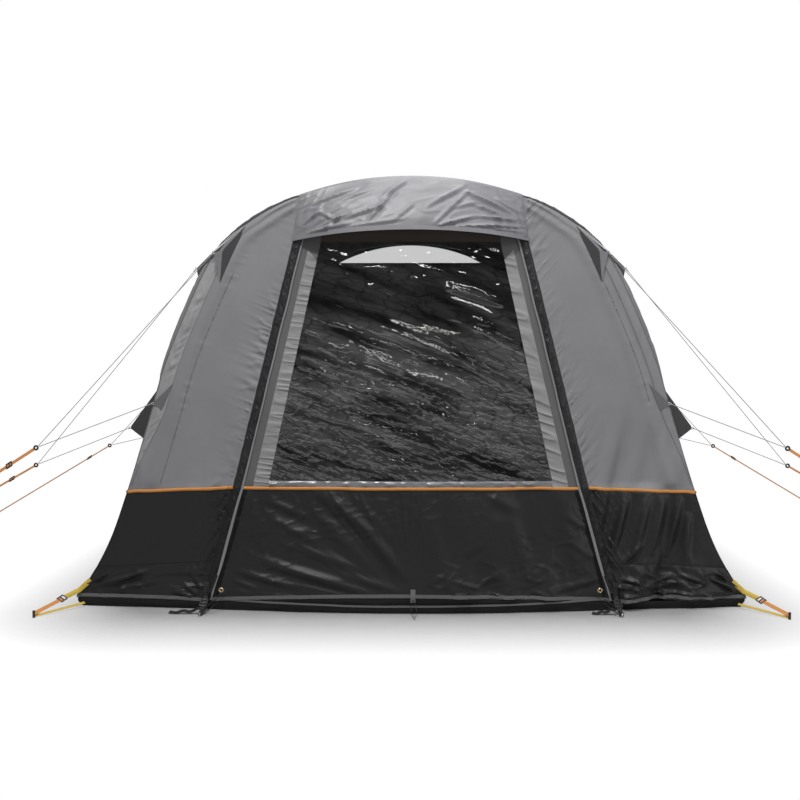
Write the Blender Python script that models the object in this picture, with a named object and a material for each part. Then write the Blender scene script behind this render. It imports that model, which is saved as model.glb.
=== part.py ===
"""Inflatable drive-away awning, from the ground up, as separate closed solids in metres.

+X is to the right seen from the front, +Y runs from the front wall back to the tunnel, +Z is up.
Widths and heights below are measured on the photo; depths behind the front wall are partly judged.
"""
import math

import bmesh
import bpy
from mathutils import Vector

# Fabric and gaps, metres
SHEET = 0.005  # fabric stand-in thickness
GAP = 0.0004  # between pieces that touch
HALF = SHEET / 2
BEAM_RADIUS = 0.065
BEAM_SIDES = 8
FOOT_SHARE = 0.995  # the feet stand just inside the flap's upright edge

# Depths from the base of the door, before the shift that centres the part
MIDDLE_Y = 0.87
REAR_Y = 2.07
TUNNEL_END_Y = 2.97
BAND = 0.035  # half of the flat band of fabric over a beam
FRONT_BAND = 0.14
SAG = 0.018  # how far the roof and sides dip between two beams
CENTRE_Y = 1.4044  # taken off every Y, so that the part's box is centred on the origin

# Heights
HEM_Z = 0.045
HEM_RISE = 0.035  # of the door's hem at its middle
SKIRT_Z = 0.600
SKIRT_CORNER = (1.400, 0.574)  # the seam over the skirts dips to the front corners
DOOR_TOP_Z = 1.868
LEAN = 0.12  # how far the front wall leans back at the top
TOP_Z = 2.12

# Half profiles from the top of the arch to the hem: (x, z)
FRONT_PROFILE = [
    (0.0, 2.12), (0.28, 2.098), (0.544, 2.03), (0.70, 1.962), (0.814, 1.89), (0.905, 1.826),
    (0.966, 1.748), (1.054, 1.585), (1.206, 1.22), (1.30, 0.90), SKIRT_CORNER, (1.497, 0.312),
    (1.655, HEM_Z),
]
MIDDLE_PROFILE = [
    (0.0, 2.215), (0.32, 2.20), (0.60, 2.152), (0.785, 2.085), (0.939, 1.99), (1.052, 1.892),
    (1.148, 1.772), (1.256, 1.57), (1.395, 1.22), (1.46, 0.90), (1.515, SKIRT_Z), (1.572, 0.312),
    (1.62, HEM_Z),
]
REAR_PROFILE = [
    (0.0, 2.12), (0.28, 2.098), (0.544, 2.03), (0.70, 1.962), (0.814, 1.89), (0.905, 1.826),
    (0.966, 1.748), (1.054, 1.585), (1.206, 1.22), (1.30, 0.90), (1.39, SKIRT_Z), (1.455, 0.312),
    (1.50, HEM_Z),
]
STEPS = 2  # stations per span of a profile
HOOD_STATION = 4
EAVES_STATION = 12
SKIRT_STATION = 20
HEM_STATION = 24

# Door and window on the front wall
ZIP_TOP = (DOOR_TOP_Z, 0.515)
ZIP_SKIRT = (SKIRT_Z, 0.822)
ZIP_HEM = (HEM_Z, 0.976)
FOOT_X = 1.005
FOOT_Y = -0.135
STRIP_WIDTH = 0.047
WINDOW_TOP = (1.80, 0.44)
WINDOW_BOTTOM = (0.655, 0.685)

# Doorway in the rear wall, and the tunnel behind it
DOORWAY_RADIUS = 1.07
DOORWAY_Z = 0.93
REAR_DOOR_STATION = 5
TUNNEL_Z = 0.90
TUNNEL_RADIUS = (1.13, 1.19)
TUNNEL_SAG = 0.02
TUNNEL_STEPS = 8  # stations of the tunnel's roof on each side of its top
TUNNEL_STEP = 7.5  # degrees
TUNNEL_GAP = 0.0003
RAIL_DEPTH = 0.035

# Guy sets: beam, fins (two base points on the beam as stations, and the tip), ring and peg
GUY_RADIUS = 0.0025
WEB_WIDTH = 0.025
WEB_THICK = 0.003
FIN_THICK = 0.003
FIN_LIFT = 0.0060  # of the fins that lie on the front wall, from the middle of its fabric
PEG_HEIGHT = 0.045
GUYS = {
    "front": {
        "upper": ((0.824, 1.872), (0.898, 1.641), (0.968, 1.752)),
        "lower": ((1.170, 1.106), (1.228, 0.974), (1.270, 1.010)),
        "ring": (1.85, 0.79), "peg": 3.05,
    },
    "middle": {
        "upper": (10, 13, (1.212, 1.738)),
        "lower": (17, 19, (1.60, 0.834)),
        "ring": (2.14, 0.62), "peg": 3.19,
    },
    "rear": {
        "upper": (10, 13, (1.03, 1.72)),
        "lower": (17, 19, (1.47, 0.77)),
        "ring": (2.04, 0.636), "peg": 3.07,
    },
}


FORWARD = Vector((0, -1, 0))
UPWARD = Vector((0, 0, 1))


def clear_scene():
    for thing in list(bpy.data.objects):
        bpy.data.objects.remove(thing, do_unlink=True)


def mix(a, b, s):
    return a + (b - a) * s


def spline(points, steps):
    """Catmull-Rom stations through the points, the ends kept."""
    made = []
    count = len(points)
    for i in range(count - 1):
        p1 = Vector(points[i])
        p2 = Vector(points[i + 1])
        if i:
            p0 = Vector(points[i - 1])
        else:
            p0 = Vector((-points[1][0], points[1][1]))
        if i + 2 < count:
            p3 = Vector(points[i + 2])
        else:
            p3 = p2 * 2 - p1
        for k in range(steps):
            s = k / steps
            made.append(
                0.5 * (2 * p1 + (p2 - p0) * s + (2 * p0 - 5 * p1 + 4 * p2 - p3) * s * s
                       + (3 * p1 - p0 - 3 * p2 + p3) * s ** 3)
            )
    made.append(Vector(points[-1]))
    return made


PROFILES = {
    "front": spline(FRONT_PROFILE, STEPS),
    "middle": spline(MIDDLE_PROFILE, STEPS),
    "rear": spline(REAR_PROFILE, STEPS),
}


def normal_at(profile, k):
    """Outward mitre normal of the half profile at station k, and the sag and beams use its length."""
    here = profile[k]
    before = profile[k - 1] if k else Vector((-profile[1].x, profile[1].y))
    after = profile[k + 1] if k + 1 < len(profile) else here * 2 - before
    first = (here - before).normalized()
    second = (after - here).normalized()
    n1 = Vector((-first.y, first.x))
    n2 = Vector((-second.y, second.x))
    middle = (n1 + n2).normalized()
    return middle / max(middle.dot(n1), 0.5)


def profile_point(beam, k, outward=0.0):
    """Station k (negative on the left) of a beam's profile, moved outward in its own plane."""
    profile = PROFILES[beam]
    at = profile[abs(k)] + normal_at(profile, abs(k)) * outward
    return Vector((math.copysign(at.x, k) if k else 0.0, at.y))


def front_y(x, z):
    """Depth of the front wall: bowed out over the door, leaning back towards the top."""
    side = abs(x)
    bow = -0.10 + 0.09 * min(side / 0.975, 1.0) ** 2 + 0.103 * max(side - 0.975, 0.0)
    return LEAN * z / TOP_Z + bow * (1 - 0.75 * z / TOP_Z)


def on_front(x, z, forward=0.0):
    return Vector((x, front_y(x, z) - forward, z))


def line_at(low, high, z):
    """Half width at height z on the straight line between two (z, half width) points."""
    return mix(low[1], high[1], (z - low[0]) / (high[0] - low[0]))


def hem_z(x):
    """The hem lies level beside the door and rises a little across it."""
    return HEM_Z + HEM_RISE * max(0.0, 1 - (x / ZIP_HEM[1]) ** 2)


def zip_x(z):
    if z < SKIRT_Z:
        return line_at(ZIP_HEM, ZIP_SKIRT, z)
    return line_at(ZIP_SKIRT, ZIP_TOP, z)


def window_x(z):
    return line_at(WINDOW_BOTTOM, WINDOW_TOP, z)


def new_object(name, vertices, faces):
    """A closed mesh object, moved so that the part's box is centred."""
    mesh = bpy.data.meshes.new(name)
    mesh.from_pydata([(v.x, v.y - CENTRE_Y, v.z) for v in vertices], [], faces)
    work = bmesh.new()
    work.from_mesh(mesh)
    bmesh.ops.recalc_face_normals(work, faces=work.faces)
    work.to_mesh(mesh)
    work.free()
    made = bpy.data.objects.new(name, mesh)
    bpy.context.scene.collection.objects.link(made)
    return made


def trimmed(rows, gap=GAP / 2):
    """The rows of a panel with each border moved in by half a gap."""
    rows = [list(row) for row in rows]
    for row in rows:
        row[0] = row[0] + (row[1] - row[0]).normalized() * gap
        row[-1] = row[-1] + (row[-2] - row[-1]).normalized() * gap
    first = [a + (b - a).normalized() * gap for a, b in zip(rows[0], rows[1])]
    last = [a + (b - a).normalized() * gap for a, b in zip(rows[-1], rows[-2])]
    return [first] + rows[1:-1] + [last]


def panel(name, rows, thick=SHEET, holes=()):
    """A sheet of the given thickness centred on a grid of points; holes lists (row, column) cells left out."""
    high = len(rows)
    wide = len(rows[0])
    cells = [(i, j) for i in range(high - 1) for j in range(wide - 1) if (i, j) not in holes]
    normals = {}
    for i, j in cells:
        corners = [(i, j), (i, j + 1), (i + 1, j + 1), (i + 1, j)]
        points = [rows[a][b] for a, b in corners]
        facing = (points[2] - points[0]).cross(points[3] - points[1])
        for corner in corners:
            normals[corner] = normals.get(corner, Vector()) + facing
    order = {corner: k for k, corner in enumerate(sorted(normals))}
    count = len(order)
    near = [rows[a][b] + normals[(a, b)].normalized() * thick / 2 for a, b in order]
    far = [rows[a][b] - normals[(a, b)].normalized() * thick / 2 for a, b in order]
    faces = []
    edges = {}
    for i, j in cells:
        corners = ((i, j), (i, j + 1), (i + 1, j + 1), (i + 1, j))
        ring = [order[c] for c in corners]
        points = [rows[a][b] for a, b in corners]
        turn = 0 if (points[0] - points[2]).length <= (points[1] - points[3]).length else 1
        ordered = ring[turn:] + ring[:turn]
        for triangle in (ordered[:3], [ordered[0], ordered[2], ordered[3]]):
            faces.append(triangle)
            faces.append([count + k for k in reversed(triangle)])
        for a, b in zip(ring, ring[1:] + ring[:1]):
            edges[(a, b)] = edges.get((a, b), 0) + 1
    for a, b in edges:
        if (b, a) not in edges:
            faces.append([b, a, count + a, count + b])
    return new_object(name, near + far, faces)


def loft(name, rings):
    """A closed body through rings of equally many points."""
    sides = len(rings[0])
    vertices = [v for ring in rings for v in ring]
    faces = []
    for i in range(len(rings) - 1):
        for j in range(sides):
            a = i * sides + j
            b = i * sides + (j + 1) % sides
            faces.append([a, b, b + sides, a + sides])
    faces.append(list(range(sides)))
    faces.append([len(vertices) - 1 - k for k in range(sides)])
    return new_object(name, vertices, faces)


def fuse(name, bodies):
    """One closed body from several that cross each other."""
    first = bodies[0]
    for other in bodies[1:]:
        union = first.modifiers.new("union", "BOOLEAN")
        union.operation = "UNION"
        union.solver = "EXACT"
        union.object = other
    bpy.context.view_layer.update()
    solid = first.evaluated_get(bpy.context.evaluated_depsgraph_get())
    mesh = bpy.data.meshes.new_from_object(solid)
    for body in bodies:
        bpy.data.objects.remove(body, do_unlink=True)
    work = bmesh.new()
    work.from_mesh(mesh)
    bmesh.ops.remove_doubles(work, verts=work.verts, dist=1e-6)
    loose = [edge for edge in work.edges if not edge.link_faces]
    bmesh.ops.delete(work, geom=loose, context="EDGES")
    bmesh.ops.triangulate(work, faces=work.faces)
    work.to_mesh(mesh)
    work.free()
    mesh.name = name
    made = bpy.data.objects.new(name, mesh)
    bpy.context.scene.collection.objects.link(made)
    return made


def shell_stations():
    """(share of front, middle and rear profile, depth) of each ring of the shell; depth None sits on the front."""
    made = [(("front", "front", 0.0), None, -HALF), (("front", "front", 0.0), None, FRONT_BAND)]
    for s in (0.25, 0.5, 0.75):
        made.append((("front", "middle", s), mix(FRONT_BAND + 0.06, MIDDLE_Y - BAND, s), 0.0))
    made.append((("middle", "middle", 0.0), MIDDLE_Y - BAND, 0.0))
    made.append((("middle", "middle", 0.0), MIDDLE_Y + BAND, 0.0))
    for s in (0.25, 0.5, 0.75):
        made.append((("middle", "rear", s), mix(MIDDLE_Y + BAND, REAR_Y - FRONT_BAND, s), 0.0))
    made.append((("rear", "rear", 0.0), REAR_Y - FRONT_BAND, 0.0))
    made.append((("rear", "rear", 0.0), REAR_Y + HALF, 0.0))
    return made


def shell_point(station, k):
    (first, second, s), depth, more = station
    a = profile_point(first, k)
    if depth is None:
        return Vector((a.x, front_y(a.x, a.y) + more, a.y))
    b = profile_point(second, k)
    inward = -SAG * 4 * s * (1 - s)
    a = profile_point(first, k, inward)
    b = profile_point(second, k, inward)
    at = mix(a, b, s)
    if abs(k) == HEM_STATION:
        at.y = HEM_Z
    return Vector((at.x, depth, at.y))


def shell_panel(name, stations):
    rows = [[shell_point(station, k) for station in shell_stations()] for k in stations]
    return panel(name, trimmed(rows))


def make_shell():
    shell_panel("roof", range(-EAVES_STATION, EAVES_STATION + 1))
    for side, sign in (("left", -1), ("right", 1)):
        shell_panel("side_wall_" + side, [sign * k for k in range(EAVES_STATION, SKIRT_STATION + 1)])
        shell_panel("side_skirt_" + side, [sign * k for k in range(SKIRT_STATION, HEM_STATION + 1)])


def tube_ring(centre, across, up, radius, sides):
    """Ring of a tube, one corner straight towards across."""
    turn = 2 * math.pi / sides
    return [
        centre + across * radius * math.cos(k * turn) + up * radius * math.sin(k * turn)
        for k in range(sides)
    ]


def make_beam(name, beam):
    """Air beam inside the sleeve of fabric: it stands on the ground flap at both feet."""
    rings = []
    for k in range(-HEM_STATION, HEM_STATION + 1):
        inset = -(HALF + GAP + BEAM_RADIUS)
        at = profile_point(beam, k, inset)
        if beam == "front":
            depth = front_y(at.x, at.y) + HALF + 0.0025 + BEAM_RADIUS
        elif beam == "middle":
            depth = MIDDLE_Y
        else:
            depth = REAR_Y - HALF - 0.0025 - BEAM_RADIUS
        out = profile_point(beam, k) - at
        out = Vector((out.x, 0.0, out.y)).normalized()
        centre = Vector((at.x, depth, at.y))
        rings.append(tube_ring(centre, out, Vector((0.0, 1.0, 0.0)), BEAM_RADIUS, BEAM_SIDES))
    for ring in (rings[0], rings[-1]):
        for v in ring:
            v.x *= FOOT_SHARE
            v.z = SHEET + GAP
    loft(name, rings)


def strip_inner(k):
    """Where the row of the front wall at station k starts: up the zip strip, then up the edge of the header."""
    if k >= 6:
        z = mix(SKIRT_Z, DOOR_TOP_Z, (SKIRT_STATION - k) / (SKIRT_STATION - 6))
        return zip_x(z) + STRIP_WIDTH, z
    z = 1.95 if k == 5 else 2.012
    return header_side(z), z


def header_side(z):
    corner = profile_point("front", HOOD_STATION, -HALF - GAP)
    return line_at((DOOR_TOP_Z, ZIP_TOP[1] + STRIP_WIDTH), (corner.y, corner.x), z)


def front_rows(sign, stations, inner, columns):
    rows = []
    for k in stations:
        x0, z0 = inner(k)
        edge = profile_point("front", k, -HALF - GAP)
        row = []
        for j in range(columns + 1):
            s = j / columns
            row.append(on_front(sign * mix(x0, edge.x, s), mix(z0, edge.y, s)))
        rows.append(row)
    return rows


def make_front():
    def skirt_inner(k):
        z = mix(SKIRT_Z, HEM_Z, (k - SKIRT_STATION) / (HEM_STATION - SKIRT_STATION))
        return zip_x(z) + STRIP_WIDTH, z

    for side, sign in (("left", -1), ("right", 1)):
        wall = front_rows(sign, range(HOOD_STATION, SKIRT_STATION + 1), strip_inner, 4)
        panel("front_wall_" + side, trimmed(wall))
        skirt = front_rows(sign, range(SKIRT_STATION, HEM_STATION + 1), skirt_inner, 4)
        panel("front_skirt_" + side, trimmed(skirt))

    rows = []
    for s in (0.0, 0.5, 1.0):
        row = []
        for k in range(-HOOD_STATION, HOOD_STATION + 1):
            edge = profile_point("front", k, -HALF - GAP)
            low = (ZIP_TOP[1] + STRIP_WIDTH) * edge.x / profile_point("front", HOOD_STATION, -HALF - GAP).x
            row.append(on_front(mix(low, edge.x, s), mix(DOOR_TOP_Z, edge.y, s)))
        rows.append(row)
    panel("front_header", trimmed(rows))


def make_door():
    heights = [SKIRT_Z, WINDOW_BOTTOM[0], 0.94, 1.225, 1.51, WINDOW_TOP[0], DOOR_TOP_Z]
    rows = []
    for z in heights:
        edge = zip_x(z)
        glass = window_x(z)
        row = [-edge, -glass, -glass / 2, 0.0, glass / 2, glass, edge]
        rows.append([on_front(x, z) for x in row])
    holes = {(i, j) for i in range(1, 5) for j in range(1, 5)}
    panel("door_panel", trimmed(rows), holes=holes)
    inside = [row[1:6] for row in rows[1:6]]
    panel("door_window", trimmed(inside, GAP), thick=0.003)

    rows = []
    for up in (0.0, 0.25, 0.5, 0.75, 1.0):
        edge = zip_x(mix(HEM_Z, SKIRT_Z, up))
        row = [edge * s for s in (-1, -0.75, -0.5, -0.25, 0, 0.25, 0.5, 0.75, 1)]
        rows.append([on_front(x, mix(hem_z(x * ZIP_HEM[1] / edge), SKIRT_Z, up)) for x in row])
    skirt = panel("door_skirt_sheet", trimmed(rows))
    start = on_front(0.012, hem_z(0.0) + 0.03, HALF)
    peg = Vector((0.012, -0.19, 0.0))
    path = [start + Vector((0, 0.001, 0.02)), start - Vector((0, 0.003, 0)), peg + Vector((0, 0, 0.006))]
    loop = web("peg_loop", path, 0.010, 0.004, FORWARD)
    fuse("door_skirt", [skirt, loop, peg_body("loop_peg", peg, 0.02)])


def web(name, path, width, thick, facing):
    """Webbing of the given width along a path of points, its flat side turned to facing."""
    rings = []
    for i, at in enumerate(path):
        before = path[max(i - 1, 0)]
        after = path[min(i + 1, len(path) - 1)]
        along = (after - before).normalized()
        side = facing.cross(along).normalized()
        up = along.cross(side)
        w = side * width / 2
        h = up * thick / 2
        rings.append([at + w + h, at - w + h, at - w - h, at + w - h])
    return loft(name, rings)


def peg_body(name, at, height):
    """The part of a ground peg that shows: a stub that ends flat on the ground."""
    rings = []
    for z, radius in ((0.0, 0.007), (height, 0.007)):
        centre = Vector((at.x, at.y, z))
        rings.append(tube_ring(centre, Vector((1, 0, 0)), Vector((0, 1, 0)), radius, 6))
    return loft(name, rings)


def mirrored(source, name):
    """A copy of a body on the other side of the awning."""
    vertices = [Vector((-v.co.x, v.co.y + CENTRE_Y, v.co.z)) for v in source.data.vertices]
    new_object(name, vertices, [list(face.vertices) for face in source.data.polygons])


def make_strips():
    rows = []
    for z in (HEM_Z, 0.18, 0.32, 0.46, SKIRT_Z, 0.91, 1.23, 1.55, DOOR_TOP_Z):
        edge = zip_x(z)
        rows.append([on_front(-x, z) for x in (edge, edge + STRIP_WIDTH / 2, edge + STRIP_WIDTH)])
    strip = panel("strip", trimmed(rows))
    x = -zip_x(0.10) - STRIP_WIDTH * 0.52
    foot = Vector((-FOOT_X, FOOT_Y, 0.0))
    top = on_front(x, 0.1237, HALF - 0.0014)
    path = [top, on_front(x, 0.075, HALF + 0.003), foot + Vector((0, 0, 0.008))]
    strap = web("foot_strap", path, 0.025, 0.005, FORWARD)
    left = fuse("zip_strip_left", [strip, strap, peg_body("foot_peg", foot, 0.022)])
    mirrored(left, "zip_strip_right")


def make_hood():
    """Rain hood: sewn along the arch and both sides, standing off the door at its lower edge."""
    half_thick = 0.002
    corner = profile_point("front", HOOD_STATION).x
    columns = []
    for k in range(-HOOD_STATION, HOOD_STATION + 1):
        outer = profile_point("front", k, HALF + GAP + half_thick)
        base = profile_point("front", k)
        share = base.x / corner
        bottom_x = 0.578 * share
        bottom_z = 1.852 - 0.042 * share * share
        lift = 1 - abs(share) ** 3
        y0 = front_y(base.x, base.y)
        column = [Vector((outer.x, y0 + 0.06, outer.y)), Vector((outer.x, y0 - HALF - GAP - half_thick, outer.y))]
        for s in (0.12, 0.35, 0.6, 0.85, 1.0):
            x = mix(outer.x, bottom_x, s)
            z = mix(outer.y, bottom_z, s)
            off = HALF + GAP + half_thick + 0.0005 + 0.115 * lift * math.sin(s * math.pi / 2)
            column.append(on_front(x, z, off))
        columns.append(column)
    rows = [list(row) for row in zip(*columns)]
    panel("hood", rows, thick=2 * half_thick)


def doorway_point(k, radius=DOORWAY_RADIUS):
    """Station k of the rear doorway, from the top of its arch down the leg."""
    side = -1 if k < 0 else 1
    n = abs(k)
    if n <= 16:
        angle = math.radians(90 - n * 90 / 16)
        return Vector((side * radius * math.cos(angle), DOORWAY_Z + radius * math.sin(angle)))
    if n <= SKIRT_STATION:
        return Vector((side * radius, mix(DOORWAY_Z, SKIRT_Z, (n - 16) / (SKIRT_STATION - 16))))
    return Vector((side * radius, mix(SKIRT_Z, 0.0, (n - SKIRT_STATION) / (HEM_STATION - SKIRT_STATION))))


def make_rear():
    def row_at(k):
        inner = doorway_point(k)
        outer = profile_point("rear", k, -HALF - GAP)
        if abs(k) == HEM_STATION:
            outer.y = 0.0
        row = [mix(inner, outer, s) for s in (0.0, 0.5, 1.0)]
        return [Vector((p.x, REAR_Y, p.y)) for p in row]

    panel("rear_wall", trimmed([row_at(k) for k in range(-SKIRT_STATION, SKIRT_STATION + 1)]))
    for side, sign in (("left", -1), ("right", 1)):
        rows = [row_at(sign * k) for k in range(SKIRT_STATION, HEM_STATION + 1)]
        panel("rear_skirt_" + side, trimmed(rows))

    rows = []
    for k in range(REAR_DOOR_STATION, HEM_STATION + 1):
        edge = doorway_point(k, DOORWAY_RADIUS - GAP)
        rows.append([Vector((edge.x * s, REAR_Y, edge.y)) for s in (-1, -0.5, 0, 0.5, 1)])
    panel("rear_door", trimmed(rows))


def tunnel_point(angle, s):
    """Angle from the top of the tunnel's arch in degrees; past 90 it runs down the straight leg."""
    radius = mix(TUNNEL_RADIUS[0], TUNNEL_RADIUS[1], s)
    radius -= TUNNEL_SAG * 4 * s * (1 - s)
    depth = mix(REAR_Y + HALF + GAP, TUNNEL_END_Y, s)
    turn = math.radians(min(abs(angle), 90))
    side = -1 if angle < 0 else 1
    z = TUNNEL_Z + radius * math.cos(turn)
    if abs(angle) > 90:
        z = TUNNEL_Z - (abs(angle) - 90) / 90
    return Vector((side * radius * math.sin(turn), depth, z))


def make_tunnel():
    shares = (0.0, 0.25, 0.5, 0.75, 1.0)
    steps = [k * TUNNEL_STEP for k in range(-TUNNEL_STEPS, TUNNEL_STEPS + 1)]

    def tunnel_panel(name, angles):
        panel(name, trimmed([[tunnel_point(a, s) for s in shares] for a in angles], TUNNEL_GAP))

    tunnel_panel("tunnel_roof", steps)
    skirt_angle = 90 + (TUNNEL_Z - SKIRT_Z) * 90
    floor_angle = 90 + TUNNEL_Z * 90
    for side, sign in (("left", -1), ("right", 1)):
        wall = [60, 67.5, 75, 82.5, 90, skirt_angle]
        tunnel_panel("tunnel_side_" + side, [sign * a for a in wall])
        skirt = [skirt_angle, mix(skirt_angle, floor_angle, 0.5), floor_angle]
        tunnel_panel("tunnel_skirt_" + side, [sign * a for a in skirt])

    rows = []
    for angle in steps:
        end = tunnel_point(angle, 1.0)
        rows.append([end, end + Vector((0, RAIL_DEPTH / 2, 0)), end + Vector((0, RAIL_DEPTH, 0))])
    panel("rail_strip", trimmed(rows), thick=0.008)


def make_ground_flap():
    """Flap under the hem: a low upright edge, and a strip turned in on the ground under the beams' feet."""
    reach = 0.165
    drop = 0.0018
    path = []
    inward = []
    stations = shell_stations()
    end = REAR_Y - HALF - 0.0015
    for station in reversed(stations[1:]):
        at = shell_point(station, -HEM_STATION)
        path.append(Vector((at.x, min(at.y, end), 0)))
        inward.append(Vector((1, 0, 0)))
    corner = profile_point("front", HEM_STATION).x
    door = ZIP_HEM[1]
    half = [door * 0.25, door * 0.5, door * 0.75, door, door + STRIP_WIDTH, 1.34, corner]
    across = [-x for x in reversed(half)] + [0.0] + half
    for x in across:
        path.append(Vector((x, front_y(x, hem_z(x)), 0)))
        inward.append(Vector((0, 1, 0)))
    for station in stations[1:]:
        at = shell_point(station, HEM_STATION)
        path.append(Vector((at.x, min(at.y, end), 0)))
        inward.append(Vector((-1, 0, 0)))
    last = len(stations) - 1
    inward[last] = Vector((1, 1, 0))
    inward[last + len(across) - 1] = Vector((-1, 1, 0))
    rings = []
    up = Vector((0, 0, 1))
    for at, turn in zip(path, inward):
        top = HEM_Z - drop
        if turn.x == 0:
            top = hem_z(at.x) - drop
        rings.append([
            at - turn * HALF, at - turn * HALF + up * top, at + turn * HALF + up * top,
            at + turn * HALF + up * SHEET, at + turn * reach + up * SHEET, at + turn * reach,
        ])
    loft("ground_flap", rings)


def tube(name, start, end, radius, sides=6):
    along = (end - start).normalized()
    side = Vector((0, 1, 0))
    up = along.cross(side).normalized()
    return loft(name, [tube_ring(start, side, up, radius, sides), tube_ring(end, side, up, radius, sides)])


def fin_on_beam(sign, beam, first, last, tip, depth):
    """Triangular patch standing on the sleeve in the beam's plane."""
    base = [profile_point(beam, k, HALF + GAP) for k in range(first, last + 1)]
    rows = []
    for s in (0.0, 0.5, 0.94):
        row = [mix(p, Vector(tip), s) for p in base]
        rows.append([Vector((sign * p.x, depth, p.y)) for p in row])
    return panel("fin", rows, thick=FIN_THICK)


def fin_on_front(sign, first, last, tip):
    """Triangular patch that lies on the front wall over the beam, its tip at the wall's edge."""
    rows = []
    for s in (0.0, 0.5, 0.94):
        row = [mix(Vector(first), Vector(tip), s), mix(Vector(last), Vector(tip), s)]
        rows.append([on_front(sign * p.x, p.y, FIN_LIFT) for p in row])
    return panel("fin", rows, thick=FIN_THICK)


def make_guys():
    depths = {"front": 0.0, "middle": MIDDLE_Y, "rear": REAR_Y - 0.07}
    for beam, plan in GUYS.items():
        for side, sign in (("left", -1), ("right", 1)):
            ring = Vector((sign * plan["ring"][0], depths[beam], plan["ring"][1]))
            if beam == "front":
                ring.y = 0.06
            peg = Vector((sign * plan["peg"], ring.y, 0.0))
            down = (peg - ring).normalized()
            for part in ("upper", "lower"):
                first, last, tip = plan[part]
                if beam == "front":
                    fin = fin_on_front(sign, first, last, tip)
                    start = on_front(sign * tip[0], tip[1], FIN_LIFT)
                    root = mix(Vector(first), Vector(last), 0.5)
                    root = mix(root, Vector(tip), 0.8)
                    inside = on_front(sign * root.x, root.y, FIN_LIFT)
                else:
                    fin = fin_on_beam(sign, beam, first, last, tip, depths[beam])
                    start = Vector((sign * tip[0], depths[beam], tip[1]))
                    middle = profile_point(beam, (first + last) // 2)
                    inside = Vector((sign * mix(middle.x, tip[0], 0.8), depths[beam], mix(middle.y, tip[1], 0.8)))
                thick = GUY_RADIUS * 2 if beam == "front" else 0.011
                end = start + (start - inside).normalized() * 0.006
                bodies = [fin, web("eye", [inside, end], 0.011, thick, FORWARD)]
                if part == "upper":
                    bodies.append(tube("line", start, ring, GUY_RADIUS))
                    half = WEB_WIDTH * 0.6
                    bodies.append(web("ring", [ring - down * half, ring + down * half], WEB_WIDTH * 1.2, 0.008, UPWARD))
                    bodies.append(web("webbing", [ring, peg + Vector((0, 0, 0.02))], WEB_WIDTH, WEB_THICK, UPWARD))
                    bodies.append(peg_body("peg", peg, PEG_HEIGHT))
                else:
                    toward = (ring - start).normalized()
                    bodies.append(tube("line", start, ring - toward * 0.0165, GUY_RADIUS))
                fuse("guy_%s_%s_%s" % (part, beam, side), bodies)


def make_corner_straps():
    for side, sign in (("left", -1), ("right", 1)):
        lift = HALF + GAP + 0.0028
        peg = Vector((sign * 1.79, -0.17, 0.0))
        path = [
            on_front(sign * 1.585, 0.135, lift),
            on_front(sign * 1.640, 0.085, lift),
            Vector((sign * 1.70, front_y(1.64, 0.085) - 0.05, 0.058)),
            peg + Vector((0, 0, 0.022)),
        ]
        main = web("main", path, 0.024, 0.003, FORWARD)
        low = [
            Vector((sign * 1.60, front_y(1.60, HEM_Z) - lift, 0.022)),
            Vector((sign * 1.645, front_y(1.64, HEM_Z) - lift, 0.022)),
            peg + Vector((-sign * 0.004, 0.002, 0.008)),
        ]
        second = web("second", low, 0.012, 0.003, FORWARD)
        fuse("corner_strap_" + side, [main, second, peg_body("peg", peg, 0.035)])


clear_scene()
make_shell()
for label in ("front", "middle", "rear"):
    make_beam(label + "_beam", label)
make_front()
make_door()
make_strips()
make_hood()
make_rear()
make_tunnel()
make_ground_flap()
make_guys()
make_corner_straps()
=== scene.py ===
"""Looks of the inflatable drive-away awning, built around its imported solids, in metres.

The forms repeat the measures of the solids' own source. Y is counted from the base of the door until shift()
moves a point into the frame of the solids. Panels are thin closed sheets on fine grids, with their folds in
the mesh.
"""
import math

import bpy
import numpy as np
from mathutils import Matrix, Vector


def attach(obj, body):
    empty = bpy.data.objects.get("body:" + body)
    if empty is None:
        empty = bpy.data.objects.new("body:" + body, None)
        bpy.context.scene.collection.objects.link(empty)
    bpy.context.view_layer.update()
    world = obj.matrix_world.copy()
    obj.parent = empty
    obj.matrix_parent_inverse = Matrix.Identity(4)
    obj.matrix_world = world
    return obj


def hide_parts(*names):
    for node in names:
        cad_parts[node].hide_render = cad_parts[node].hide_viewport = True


CENTRE_Y = 1.4044  # depth of the middle of the solids' box
SHEET = 0.005  # thickness of the solids' panels
HALF = SHEET / 2
CLEAR = 0.0004  # gap between a panel and what lies against it
CLOTH = 0.0014  # thickness of the visible fabric
BEAM_RADIUS = 0.065
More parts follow.
